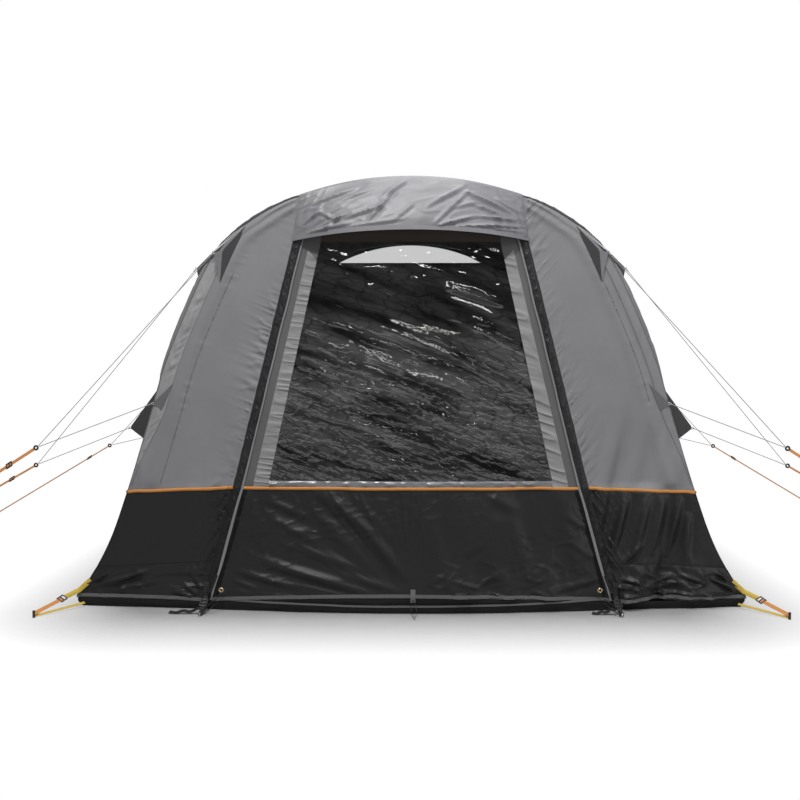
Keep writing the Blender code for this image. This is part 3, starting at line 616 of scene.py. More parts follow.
def film_material():
    """Clear flexible film: glossy, with small flat facets in its bump. Its base colour is painted: a grey
    that is lightest a third of the way up and darkest at the top is painted reflection, and dark slanted
    streaks and dark lines along the facets' edges are painted shade in the folds.
    """
    tree, main = shader("film", (0.030, 0.031, 0.034), 0.06)
    main.inputs["Alpha"].default_value = 0.25
    main.inputs["IOR"].default_value = 2.5
    where = place_of(tree)
    level = scaled(tree, add(tree, "SeparateXYZ", where).outputs["Z"], WINDOW_BOTTOM[0], WINDOW_TOP[0])
    # painted shade: dark streaks that slant along the folds
    streaks = cloud(tree, slanted(tree, where, (0.42, 0.42, 0.075), 0.40), 1.0, 3.0)
    patches = ramp_of(tree, streaks, ((0.36, 0.10), (0.59, 1.0)))
    # painted reflection: the film's grey base colour by height, lightest a third of the way up and darkest at
    # the top
    painted_reflection = ramp_of(tree, level, ((0.0, 0.155), (0.35, 0.275), (0.55, 0.24), (0.75, 0.10)))
    # painted shade: dark lines along the edges of the facets, where the creases are
    net = facets(tree, where, (0.10, 0.10, 0.030), 0.30, feature="DISTANCE_TO_EDGE")
    lines = ramp_of(tree, net, ((0.0, 0.25), (0.06, 1.0)))
    tree.links.new(times(tree, times(tree, patches, painted_reflection), lines), main.inputs["Base Color"])
    large = times(tree, facets(tree, where, (0.085, 0.085, 0.021), 0.38), 0.0013)
    small = times(tree, facets(tree, where, (0.023, 0.023, 0.0105), 0.36), 0.0010)
    crumpled = add(tree, "Math", large, small, operation="ADD").outputs[0]
    calm = ramp_of(tree, level, ((0.0, 0.9), (0.42, 0.70), (0.55, 0.45), (0.72, 0.14), (0.90, 0.08)))
    bump(tree, main, times(tree, crumpled, calm), 1.0, 1.0)


def make_materials():
    fabric("wall", (0.237, 0.237, 0.249), 0.62)
    fabric("gather", (0.275, 0.275, 0.277), 0.6)
    # painted light: the sleeve is the wall's cloth made paler for its lit side, used on the left only
    fabric("sleeve", (0.310, 0.310, 0.312), 0.6)
    # painted shade: darker grey for the shaded band beside the zip, and for the hood's shadow in the door's
    # top corners
    fabric("border", (0.120, 0.120, 0.120), 0.62)
    # painted shadow: the strip above the window, under the hood, is dark brown for the hood's shadow
    fabric("lintel", (0.058, 0.047, 0.038), 0.6)
    fabric("fin", (0.150, 0.150, 0.157), 0.62)
    # painted shade: the dark grey stands for the shaded face of a guy patch
    fabric("gusset", (0.060, 0.060, 0.060), 0.65)
    # painted light: the pale colour stands for the lit top face of the upper front guy patch
    fabric("pale", (0.55, 0.55, 0.54), 0.6)
    fabric("seam", (0.150, 0.150, 0.155), 0.7, thread=0.0008)
    fabric("sill", (0.20, 0.20, 0.21), 0.2, specular=0.8)
    fabric("hood", (0.215, 0.215, 0.230), 0.40, weave=0.15, specular=0.5)
    fabric("roof", (0.045, 0.045, 0.050), 0.62)
    fabric("skirt", (0.0125, 0.0125, 0.013), 0.42, specular=0.4, grime=0.04)
    # painted shade: a black a little darker than the skirts', for the shade under the hem; the pale dust near
    # the ground is its own
    fabric("flap", (0.0095, 0.0095, 0.0098), 0.5, specular=0.3, grime=0.04)
    fabric("seam_black", (0.022, 0.022, 0.022), 0.5, thread=0.0008)
    fabric("strip_upper", (0.019, 0.019, 0.0195), 0.46, specular=0.4)
    fabric("strip_lower", (0.009, 0.009, 0.0092), 0.46, specular=0.35)
    # near black: the zip's real tape, darkened further as painted shade beside the piping
    fabric("zip_tape", (0.004, 0.004, 0.004), 0.5, specular=0.2)
    fabric("binding", (0.140, 0.140, 0.143), 0.55, thread=0.001)
    fabric("piping", (0.23, 0.23, 0.235), 0.5, thread=0.001)
    fabric("beam", (0.07, 0.07, 0.073), 0.55)
    webbing_material("orange", (0.74, 0.30, 0.062))
    webbing_material("orange_strap", (0.70, 0.28, 0.07))
    webbing_material("yellow_strap", (0.74, 0.52, 0.08))
    webbing_material("black_strap", (0.013, 0.013, 0.013))
    webbing_material("cord", (0.42, 0.42, 0.42), 0.55)
    hard_material("brass", (0.80, 0.62, 0.30), 0.25, 1.0)
    hard_material("steel", (0.55, 0.55, 0.56), 0.3, 1.0)
    hard_material("buckle", (0.035, 0.035, 0.036), 0.35)
    film_material()


# Pieces

def grid(u0, u1, v0, v1, cells_u, cells_v):
    """Even steps from u0 to u1 along the rows, and from v0 to v1 from row to row."""
    return np.meshgrid(*(np.linspace(low, high, max(3, int(round(abs(cells))) + 1))
                         for low, high, cells in ((u0, u1, cells_u), (v0, v1, cells_v))))


def wall_inner(t):
    """x and z where the row of the front wall at t starts: up the zip strip, then up the header's edge."""
    beside = SKIRT_Z + (DOOR_TOP_Z - SKIRT_Z) * (SKIRT_T - t) / (SKIRT_T - DOOR_T)
    z = np.where(t >= DOOR_T, beside, DOOR_TOP_Z + (DOOR_T - t) * (HEADER_Z - DOOR_TOP_Z))
    x_corner, z_corner = outline("front", HOOD_T, -HALF)
    head = np.interp(z, [DOOR_TOP_Z, float(z_corner)], [ZIP[2] + STRIP_WIDTH, float(x_corner)])
    return np.where(t >= DOOR_T, zip_x(z) + STRIP_WIDTH, head), z


def front_panel(part, side, sign, s, t, start, look):
    """A panel of the front from its start, x and z of each row, out to the beam's profile."""
    x0, z0 = start
    x1, z1 = outline("front", t, -HALF)
    points = front_point(sign * (x0 + (x1 - x0) * s), z0 + (z1 - z0) * s)
    cloth(part + "_" + side + "_cloth", points, look, [part + "_" + side])


def make_front_walls():
    for side, sign in SIDES:
        s, t = grid(0, 1, HOOD_T, SKIRT_T, 0.62 / CELL, 1.55 / (CELL * 0.75))
        s = s * (0.5 + 0.5 * s)
        front_panel("front_wall", side, sign, s, t, wall_inner(t), "wall")
        s, t = grid(0, 1, SKIRT_T, HEM_T, 0.68 / (CELL * 0.72), 0.66 / (CELL * 0.68))
        z = SKIRT_Z + (HEM_Z - SKIRT_Z) * (t - SKIRT_T) / (HEM_T - SKIRT_T)
        front_panel("front_skirt", side, sign, s, t, (zip_x(z) + STRIP_WIDTH, z), "skirt")
        outer = SLEEVE_SEAMS[side][0]
        for inset in SLEEVE_SEAMS[side]:
            foot = SLEEVE_TURN[0] if side == "right" and inset != outer else SKIRT_Z + 0.012
            z = np.linspace(SEAM_TOP - inset, foot, 130)
            drift = 0.85 * smooth(z, *SLEEVE_TURN) if inset == outer else 0
            points = front_point(sign * (edge_x(z) - inset * (1 - drift)), z, 0.0012)
            name = "sleeve_seam_%s_%d" % (side, inset * 1000)
            band(name, points, 0.0036, 0.0012, AHEAD, "seam")
        x = sign * np.linspace(zip_x(0.22) + STRIP_WIDTH + 0.003, float(edge_x(0.2)) - 0.006, 90)
        points = front_point(x, skirt_seam(np.abs(x)) + 0.008, 0.0012)
        band("skirt_seam_" + side, points, 0.0045, 0.0012, AHEAD, "seam_black")


def make_sleeve():
    """The front beam's sleeve, a gathered strip on the left that turns to the light. Its paler colour is
    painted light, on the left only.
    """
    s, z = grid(0, 1, SLEEVE_TOP, SKIRT_Z + 0.015, 9, 150)
    taper = (1 - 0.85 * smooth(z, *SLEEVE_TURN)) * (1 - 0.5 * smooth(z, SLEEVE_TOP - 0.08, SLEEVE_TOP))
    width = SLEEVE_SEAMS["left"][0] * taper
    points = front_point(-(edge_x(z) - width + (width - 0.004) * s), z, 0.0015)
    loose = smooth(z, 1.62, 1.55) * smooth(np.abs(z - 1.04), 0.06, 0.14) * np.sin(math.pi * s)
    points[..., 1] -= 0.0075 * loose * ridges(z * 27 + s * 1.6, s * 0.8, 211)
    # its paler colour is painted light
    cloth("sleeve_left_cloth", points, "sleeve", ["front_wall_left"])


def make_header():
    s, share = (part.T for part in grid(0, 1, -1, 1, 10, 55))
    x1, z1 = outline("front", np.abs(share) * HOOD_T, -HALF)
    x0 = (ZIP[2] + STRIP_WIDTH) * share
    points = front_point(x0 + (x1 * np.sign(share) - x0) * s, DOOR_TOP_Z + (z1 - DOOR_TOP_Z) * s)
    cloth("front_header_cloth", points, "wall", ["front_header"])


def film_fold(x, z):
    """The film's creases: long pulls that slant down to the right above, a net of small ones below."""
    inside = np.minimum(window_x(z) - np.abs(x), np.minimum(z - WINDOW_BOTTOM[0], WINDOW_TOP[0] - z))
    angle = -0.36 + 0.10 * noise(x * 1.5, z * 1.5, 101) + 0.20 * smooth(x, 0.1, 0.5) * smooth(z, 1.3, 1.6)
    along = x * np.cos(angle) + z * np.sin(angle)
    across = -x * np.sin(angle) + z * np.cos(angle)
    wobble = 0.4 * noise(x * 6, z * 6, 103)
    upper = 0.25 + 0.75 * smooth(z, 0.9, 1.25)
    calm = 1 - 0.85 * smooth(z, 1.30, 1.50) - 0.12 * smooth(z, 1.55, 1.68)
    d = upper * calm * 0.0030 * noise(along * 1.6, across * 12 + wobble, 105)
    d += upper * calm * 0.0034 * creases(along * 1.5 + 1, across * 15 + wobble, 107, 0.22)
    d += calm * 0.0020 * creases(along * 4.5 + 2, across * 36 + wobble * 2, 119, 0.35)
    lower = 1 - 0.6 * smooth(z, 0.95, 1.40)
    warp = 0.7 * noise(x * 8, z * 8, 111)
    d -= lower * 0.0026 * creases(x * 8 + z * 5 + warp, z * 22 + 7 * x + warp, 109, 0.28)
    d -= lower * 0.0018 * creases(x * 19 - z * 14 + warp, z * 34 + x * 9 - warp, 115, 0.40)
    small = 0.10 - 0.085 * smooth(z, 1.50, 1.64)
    return smooth(inside, 0.0, 0.02) * (d + small * strokes(x, z, FILM_FOLDS) + strokes(x, z, FILM_PULLS))


def gather_fold(x, z):
    """Level pleats in the gathered border beside the window."""
    side = np.abs(x)
    glass = window_x(z)
    s = np.clip((side - glass) / np.maximum(zip_x(z) - glass, 1e-3), 0, 1)
    on = smooth(s, 0.66, 0.5) * smooth(z, 1.80, 1.70)
    right = x > 0
    up = z + np.where(right, 0.35, -0.1) * side
    broad = 1.6 * ridges(up * np.where(right, 24, 44) + 0.5 * noise(z * 6, side * 3, 121), s * 0.7, 123) - 0.6
    close = noise(up * 105, s * 1.5, 125) * smooth(s, 0.6, 0.1)
    return on * (np.where(right, 0.0060, 0.0034) * broad + 0.0015 * close)


def border(name, sign, s0, s1, low, high, material, cells):
    """Part of the door's border from s0 to s1, shares of the way from the glass to the zip.

    Each of low and high is a pair of heights, at the glass and at the end of the gathers.
    """
    s, v = grid(s0, s1, 0, 1, cells, (SKIRT_Z - DOOR_TOP_Z) / (CELL * 0.38))
    bottom, top = (np.interp(s, (0, GATHER), heights) for heights in (low, high))
    z = bottom + (top - bottom) * v
    glass = window_x(z)
    x = sign * (glass + (zip_x(z) - 0.0005 - glass) * s)
    points = front_point(x, z)
    points[..., 1] -= gather_fold(x, z)
    cloth(name, points, material, ["door_panel"])


def make_door():
    # painted shadow of the hood: above a slanting line from 1.712 at the glass to 1.762 at the end of the
    # gathers, the door's top corners take the darker border grey
    sill, top, shade = (SKIRT_Z, SKIRT_Z), (DOOR_TOP_Z, DOOR_TOP_Z), (1.712, 1.762)
    for side, sign in SIDES:
        # the band beside the zip is darker grey: painted shade
        border("door_border_" + side, sign, GATHER, 1, sill, top, "border", 6)
        border("door_gather_" + side, sign, 0, GATHER, sill, shade, "gather", 12)
        # the hood's shadow, painted in the darker border grey
        border("door_corner_" + side, sign, 0, GATHER, shade, top, "border", 8)
    # the lintel's dark brown is the hood's painted shadow
    for look, low, high in (("sill", SKIRT_Z, WINDOW_BOTTOM[0]), ("lintel", WINDOW_TOP[0], DOOR_TOP_Z)):
        share, z = grid(-1, 1, low, high, 1.37 / CELL, 9)
        x = share * (window_x(np.clip(z, WINDOW_BOTTOM[0], WINDOW_TOP[0])) - 0.0004)
        points = front_point(x, z)
        if look == "sill":
            edges = smooth(z, low, low + 0.02) * smooth(high - z, 0, 0.012)
            crumple = 0.009 * ridges(x * 21, z * 26, 131) + 0.004 * ridges(x * 48, z * 50, 133)
            points[..., 1] -= edges * crumple
        cloth("door_" + look, points, look, ["door_panel"])
    cell = CELL * 0.66
    share, z = grid(-1, 1, WINDOW_BOTTOM[0] + 0.0004, WINDOW_TOP[0] - 0.0004, 1.37 / cell, 1.145 / cell)
    x = share * (window_x(z) - 0.0006)
    points = front_point(x, z)
    points[..., 1] -= film_fold(x, z)
    cloth("door_window_film", points, "film", ["door_window"], thick=0.0008)
    share, up = grid(-1, 1, 0, 1, 1.95 / (CELL * 0.75), 0.56 / (CELL * 0.7))
    x = share * (zip_x(HEM_Z + (SKIRT_Z - HEM_Z) * up) - 0.0005)
    z = hem_z(share * ZIP[0]) * (1 - up) + SKIRT_Z * up
    cloth("door_skirt_cloth", front_point(x, z), "skirt", ["door_skirt"])


def make_strips():
    """Black crinkled storm strips over the zips, with a pale piping and the zip's tape beside the door."""
    for side, sign in SIDES:
        seed = 141 if sign < 0 else 151
        for part, low, high in (("lower", HEM_Z + 0.002, SKIRT_Z), ("upper", SKIRT_Z, DOOR_TOP_Z)):
            s, z = grid(0, 1, low, high, 12, (high - low) / (CELL * 0.42))
            points = front_point(sign * (zip_x(z) + (STRIP_WIDTH + 0.002 * noise(z * 22, z * 0, 145)) * s), z)
            crinkle = 0.007 * ridges(z * 42 - s * 2.8, s * 2.4 + 5, seed)
            crinkle += 0.005 * ridges(z * 88 - s * 9, s * 3.5, seed + 2)
            points[..., 1] -= np.sin(math.pi * s) * (0.005 + crinkle)
            cloth("zip_strip_%s_%s" % (side, part), points, "strip_" + part,
                  ["zip_strip_" + side])
        z = np.linspace(HEM_Z + 0.006, DOOR_TOP_Z - 0.01, 150)
        wander = 0.0025 * noise(z * 8, z * 0, 143) + 0.003 * smooth(z, 0.20, 0.11)
        widths = (0.0085 + 0.0055 * smooth(z, 0.9, 0.3)) * (1 - 0.35 * smooth(z, 0.26, 0.12))
        section = band_section(1.0, 0.005)[None] * np.stack([widths, np.ones_like(z)], -1)[:, None]
        points = front_point(sign * (zip_x(z) - 0.001 + wander), z, 0.0055 + 0.004 * smooth(z, 0.26, 0.16))
        sweep("zip_piping_" + side, points, section, AHEAD, "piping")
        # the zip's tape, near black: partly painted shade beside the piping
        z = np.linspace(HEM_Z + 0.03, SKIRT_Z - 0.004, 70)
        points = front_point(sign * (zip_x(z) - 0.020), z, 0.0018)
        band("zip_tape_" + side, points, 0.018, 0.0016, AHEAD, "zip_tape")


def piping(name, points, radius=0.0076, facing=AHEAD, sides=10):
    """The orange line over the skirts."""
    sweep(name, points, round_section(radius, sides, 0.55), facing, "orange")


def hem(name, points, facing=AHEAD):
    """The pale binding of a hem."""
    band(name, points, 0.017, 0.003, facing, "binding")


def make_trims():
    """Orange piping over the skirts and the pale binding of the hems, sewn on the folded front."""
    for side, sign in SIDES:
        s = np.linspace(0.002, 0.998, 70)
        x0 = zip_x(SKIRT_Z) + STRIP_WIDTH
        x1, z1 = outline("front", SKIRT_T, -HALF)
        wander = 0.0035 * noise(s * 4, s * 0, 147) - 0.004 * smooth(s, 0.90, 1.0)
        z = SKIRT_Z + (z1 - SKIRT_Z) * s + wander
        piping("piping_front_" + side, front_point(sign * (x0 + (x1 - x0) * s), z, 0.003))
        s = np.linspace(0.002, 0.996, 80)
        x0 = zip_x(HEM_Z) + STRIP_WIDTH
        x1 = outline("front", HEM_T, -HALF)[0]
        z = HEM_Z + 0.011 + 0.007 * noise(s * 3.4, s * 0, 151)
        hem("hem_front_" + side, front_point(sign * (x0 + (x1 - x0) * s), z, 0.003))
    x = np.linspace(-zip_x(SKIRT_Z) + 0.006, zip_x(SKIRT_Z) - 0.006, 180)
    piping("piping_door", front_point(x, SKIRT_Z + 0.0025 * noise(x * 5, x * 0, 149), 0.003), 0.0074)
    x = np.linspace(-0.972, 0.972, 220)
    hem("hem_door", front_point(x, hem_z(x) + 0.009, 0.003))


def hood_surface(share, s):
    """Points of the hood: share runs across it, s from behind the arch over it and down to the lower edge."""
    t = np.abs(share) * HOOD_T
    gap, back = HALF + 0.0024, 0.06
    out_x, out_z = outline("front", t, gap)
    y0 = front_y(*outline("front", t))
    over = 0.16  # share of the hood that lies over the arch
    down = np.clip((s - over) / (1 - over), 0, 1)
    x = out_x + (HOOD_FOOT[0] * np.abs(share) - out_x) * down
    z = out_z + (HOOD_FOOT[1] - HOOD_BEND * share ** 2 - out_z) * down
    stand = HALF + 0.0029 + HOOD_STAND * (1 - np.abs(share) ** 3) * np.sin(down * math.pi / 2)
    y = np.where(s < over, y0 + back - (gap + back) * s / over, front_y(x, z) - stand)
    return np.stack([x * np.sign(share), y, z], -1)


def hood_fold(share, s):
    """Slack pulls that run from both lower corners up to the arch."""
    x, z = share * 0.6, (1 - s) * 0.33
    d = 1.35 * strokes(x, z, HOOD_FOLDS)
    for corner in (-0.60, 0.60):
        turn = np.arctan2(z + 0.03, np.abs(x - corner))
        r = np.hypot(x - corner, z + 0.03)
        d += 0.0065 * (ridges(turn * 9, r * 2.2, 167) - 0.4) * np.exp(-(r / 0.42) ** 3) * smooth(r, 0.0, 0.12)
    d += 0.004 * noise(x * 7 + z * 5, z * 8, 161) + 0.003 * ridges(x * 9 + z * 12, z * 26 - x * 6, 163)
    edge = 1 - np.abs(share)
    d += 0.003 * noise(z * 40 + x * 8, x * 12, 165) * smooth(edge, 0.10, 0.01)
    return d * smooth(s, 0.14, 0.26) * smooth(s, 1.0, 0.93) * smooth(edge, 0.0, 0.025)


def make_hood():
    share, s = grid(-1, 1, 0, 1, 1.2 / (CELL * 0.85), 0.42 / (CELL * 0.85))
    points = hood_surface(share, s)
    points = points - normals_of(points) * hood_fold(share, s)[..., None]
    cloth("hood_cloth", points, "hood", ["hood"])
    share = np.linspace(-1, 1, 110)
    edge = hood_surface(share, np.ones_like(share)) + [0, -0.001, 0.006]
    band("hood_binding", edge, 0.024, 0.005, (0, -1, 0.2), "hood")


def make_shell():
    fine = 0.024

    def panel(name, t0, t1, length, look, slot):
        w, t = grid(0, 1, t0, t1, 2.1 / fine, length / fine)
        points = shell(t, w)
        away = normals_of(points)
        outward = np.sign(np.sum(away * (points * [1, 0, 1] - [0, 0, 0.6]), -1))
        points = points + away * (shell_fold(t, w) * outward)[..., None]
        cloth(name + "_cloth", points, look, [name])

    panel("roof", -EAVES_T, EAVES_T, 2.5, "roof", "roof_fabric")
    w = np.linspace(0.002, 0.998, 120)
    for side, sign in SIDES:
        panel("side_wall_" + side, sign * EAVES_T, sign * SKIRT_T, 1.25, "wall", "wall_fabric")
        panel("side_skirt_" + side, sign * SKIRT_T, sign * HEM_T, 0.58, "skirt", "skirt_fabric")
        seam = shell(sign * SKIRT_T, w) + [sign * 0.0035, 0, 0]
        piping("piping_side_" + side, seam, 0.0068, (sign, 0, 0.2), 8)
        hem("hem_side_" + side, shell(sign * HEM_T, w) + [sign * 0.002, 0, 0.009], (sign, 0, 0.3))
        seam = shell(sign * EAVES_T, w) + [sign * 0.002, 0, 0.001]
        band("eaves_seam_" + side, seam, 0.014, 0.003, (sign, 0, 0.8), "roof")


def make_beams():
    """Air beams, whose lowest rings bend in to stand on the ground."""
    gap = HALF + 0.0025 + BEAM_RADIUS
    foot = 6
    depths = {"middle": MIDDLE_Y, "rear": REAR_Y - gap}
    t = np.linspace(-HEM_T, HEM_T, 160)
    for beam in PROFILES:
        x, z = outline(beam, t, -(HALF + CLEAR + BEAM_RADIUS))
        y = front_y(x, z) + gap if beam == "front" else x * 0 + depths[beam]
        points = np.stack([x * np.sign(t), y, z], -1)
        for k in range(foot):
            points[[k, -1 - k], 2] = 0.0062 + k * 0.011
            points[k, 0] = points[foot, 0] - 0.004 + 0.001 * k
            points[-1 - k, 0] = points[-1 - foot, 0] + 0.004 - 0.001 * k
        sweep(beam + "_beam_tube", points, round_section(BEAM_RADIUS - 0.001, 20), AHEAD, "beam",
              [beam + "_beam"])


def doorway_line(n, radius):
    """The edge of the rear doorway: n runs from the top of its arch (0) down to the ground (DOORWAY_N[2])."""
    arch = DOORWAY_N[0]
    a = np.abs(n)
    turn = np.radians(90 - np.minimum(a, arch) * 90 / arch)
    leg = np.interp(a, DOORWAY_N, [DOORWAY_Z, SKIRT_Z, 0.0])
    z = np.where(a > arch, leg, DOORWAY_Z + radius * np.sin(turn))
    return np.where(n < 0, -1, 1) * radius * np.cos(turn), z


def make_rear():
    skirt, ground = DOORWAY_N[1:]

    def face(name, low, high, cells_s, cells_n, look):
        s, n = grid(0, 1, low, high, cells_s, cells_n)
        x0, z0 = doorway_line(n, DOORWAY_RADIUS)
        x1, z1 = outline("rear", n / 2, -HALF)
        x1 = np.where(n < 0, -x1, x1)
        z1 = z1 - HEM_Z * smooth(np.abs(n), skirt, ground)
        x, z = x0 + (x1 - x0) * s, z0 + (z1 - z0) * s
        bulge = 0.004 * noise(x * 6, z * 4, 171) * np.sin(math.pi * s)
        cloth(name + "_cloth", np.stack([x, REAR_Y + bulge, z], -1), look, [name])

    face("rear_wall", -skirt, skirt, 20, 190, "roof")
    for side, sign in SIDES:
        face("rear_skirt_" + side, sign * skirt, sign * ground, 24, 36, "skirt")
    share, n = grid(-1, 1, 5, ground, 40, 60)
    x, z = doorway_line(n, DOORWAY_RADIUS - 0.001)
    x = x * share
    fold = 0.006 * noise(x * 5 + z, z * 2, 175) + 0.003 * ridges(x * 4 + z * 2, z * 6, 177)
    points = np.stack([x, REAR_Y + fold * (1 - share ** 2), z], -1)
    # the upper part of the rear door takes the dark roof colour: painted shade, so that the inside looks dark
    # through the window
    cloth("rear_door_upper", points[:45], "roof", ["rear_door"])
    cloth("rear_door_lower", points[44:], "skirt", ["rear_door"])
    x, z = doorway_line(np.linspace(-ground, ground, 240), DOORWAY_RADIUS)
    band("rear_zip", np.stack([x, x * 0 + REAR_Y - 0.004, np.maximum(z, 0.004)], -1), 0.02, 0.003, AHEAD,
         "strip_upper")


def tunnel_surface(angle, s):
    """Points of the tunnel: angle turns from its top, and past 90 it runs straight down, a metre to 90."""
    radius = TUNNEL_RADIUS[0] + (TUNNEL_RADIUS[1] - TUNNEL_RADIUS[0]) * s - TUNNEL_SAG * 4 * s * (1 - s)
    depth = REAR_Y + HALF + CLEAR + (TUNNEL_END_Y - REAR_Y - HALF) * s
    turn = np.radians(np.minimum(np.abs(angle), 90))
    z = np.where(np.abs(angle) > 90, TUNNEL_Z - (np.abs(angle) - 90) / 90, TUNNEL_Z + radius * np.cos(turn))
    return np.stack([np.sign(angle) * radius * np.sin(turn), depth + angle * 0, z], -1)


def make_tunnel():
    def panel(name, low, high, length, look, slot):
        s, angle = grid(0, 1, low, high, 0.9 / 0.026, length / 0.026)
        points = tunnel_surface(angle, s)
        fold = 0.007 * noise(angle * 0.11, s * 1.6, 181) + 0.003 * noise(angle * 0.3, s * 2.5, 183)
        radial = points * [1, 0, 1] - [0, 0, TUNNEL_Z]
        radial[..., 2] = np.where(np.abs(angle) > 90, 0, radial[..., 2])
        points = points + unit(radial) * (fold * np.sin(math.pi * s))[..., None]
        cloth(name + "_cloth", points, look, [name])

    eaves = 60
    skirt, ground = 90 + (TUNNEL_Z - SKIRT_Z) * 90, 90 + TUNNEL_Z * 90
    panel("tunnel_roof", -eaves, eaves, 2.4, "roof", "roof_fabric")
    for side, sign in SIDES:
        panel("tunnel_side_" + side, sign * eaves, sign * skirt, 0.9, "wall", "wall_fabric")
        panel("tunnel_skirt_" + side, sign * skirt, sign * ground, 0.6, "skirt", "skirt_fabric")
    angle = np.linspace(-eaves, eaves, 120)
    points = tunnel_surface(angle, np.ones_like(angle))
    out = points * [1, 0, 1] - [0, 0, TUNNEL_Z]
    band("rail_strip_tape", points + [0, 0.0145, 0], 0.028, 0.002, out, "binding", nodes=["rail_strip"])
    bead = round_section(0.0038, 10)
    sweep("rail_bead", points + [0, 0.0305, 0], bead, out, "piping", nodes=["rail_strip"])


def make_flap():
    """Mud flap: a low wavy upright edge under the hem and a strip turned in on the ground."""
    w = np.linspace(1, 0, 90)
    x = np.linspace(-PROFILES["front"][-1][0], PROFILES["front"][-1][0], 260)
    front = np.stack([x, front_y(x, hem_z(x)), hem_z(x)], -1)
    count = len(w) - 1
    path = np.concatenate([shell(-HEM_T, w)[:-1], front, shell(HEM_T, w[::-1])[1:]])
    path[:, 1] = np.minimum(path[:, 1], REAR_Y - 0.004)
    top = path[:, 2] - 0.0022
    path[:, 2] = 0
    inward = np.zeros_like(path)
    inward[:count, 0] = 1
    inward[count:-count, 1] = 1
    inward[-count:, 0] = -1
    turn = 9  # points on each side of a corner over which the way inward turns
    for k in range(2 * turn + 1):
        s = k / (2 * turn)
        across, back = min(1, 2 - 2 * s), min(1, 2 * s)
        inward[count - turn + k] = (across, back, 0)
        inward[-count - 1 + turn - k] = (-across, back, 0)
    way = travel(path)
    rows = []
    for share in np.linspace(1, 0.02, 9):
        wave = 0.006 * noise(way * 8, share * 1.5 + way * 0, 191) * smooth(share, 1.0, 0.4)
        row = path + inward * (wave + 0.003 + 0.015 * smooth(share, 0.9, 0.1))[:, None]
        row[:, 2] = top * share
        rows.append(row)
    for reach in np.linspace(0.026, 0.16, 7):
        rows.append(path + inward * reach + [0, 0, 0.0012])
    # the flap's darker black is partly painted shade under the hem
    cloth("ground_flap_cloth", np.stack(rows), "flap", ["ground_flap"])
    wide = 0.955
    x = np.linspace(-wide, wide, 160)
    z = 0.038 + 0.020 * (x / wide) ** 2 + 0.0015 * noise(x * 7, x * 0, 193)
    points = np.stack([x, front_y(x, z) + 0.002, z], -1)
    band("flap_binding", points, 0.009, 0.004, AHEAD, "binding")


# Fastenings

def ring_mesh(name, centre, axis, radius, wire, material, nodes=(), stretch=1, up=(0, 0, 1)):
    """A ring of round wire, or a long loop with stretch over 1."""
    axis = unit(axis)
    across = unit(np.cross(axis, up))
    turn = np.linspace(0, 2 * math.pi, 33)[:-1, None]
    out = across * np.cos(turn) * stretch + np.cross(across, axis) * np.sin(turn)
    spin = np.linspace(0, 2 * math.pi, 9)[:-1, None]
    ways = unit(out)[:, None] * np.cos(spin) + axis * np.sin(spin)
    rings = (centre + out * radius)[:, None] + ways * wire
    ids = np.arange(rings.size // 3).reshape(rings.shape[:2])
    quads = np.stack([ids, np.roll(ids, -1, 1), np.roll(ids, (-1, -1), (0, 1)), np.roll(ids, -1, 0)], -1)
    finish_mesh(name, shift(rings).reshape(-1, 3), quads.reshape(-1, 4).tolist(), np.zeros((ids.size, 2)), 50,
                material, nodes)


def buckle(name, centre, along, facing, width, length, nodes=()):
    """Ladder buckle: two side rails and three bars, on the strap."""
    along = unit(along)
    facing = np.asarray(facing, float)
    facing = unit(facing - along * facing.dot(along))
    side = np.cross(along, facing) * width / 2
    centre = centre + facing * 0.003
    for k, sign in enumerate((-1, 1)):
        middle, half = centre + side * sign, along * length / 2
        rail = line(middle - half, middle + half, 5)
        band("%s_rail_%d" % (name, k), rail, 0.005, 0.006, facing, "buckle", nodes=nodes)
    for k, share in enumerate((-0.5, -0.05, 0.42), 2):
        middle = centre + along * length * share
        bar = line(middle - side, middle + side, 4)
        rod("%s_bar_%d" % (name, k), bar, 0.0026, "buckle", nodes=nodes, facing=facing)


def peg(name, at, height, lean, nodes):
    """A steel peg's head: the shaft that shows above the ground, and its hook."""
    lean = np.asarray(lean, float)
    top = at + [0, 0, height] + lean * height * 0.35
    turn = np.linspace(0.3, 2.4, 8)[:, None]
    hook = top + lean * 0.012 * np.sin(turn) - [0, 0, 0.006] * (1 - np.cos(turn))
    points = np.vstack([line(at + [0, 0, 0.0005], top, 6), hook])
    rod(name, points, 0.0028, "steel", nodes=nodes, facing=(0.1, -1, 0.1))


def cord_loop(name, a, b, width, wire, facing, nodes):
    """A long loop of cord between two points."""
    way = unit(b - a)
    up = np.cross(way, facing)
    ring_mesh(name, (a + b) / 2, np.cross(up, way), width / 2, wire, "black_strap", nodes,
              np.linalg.norm(b - a) / width, up)


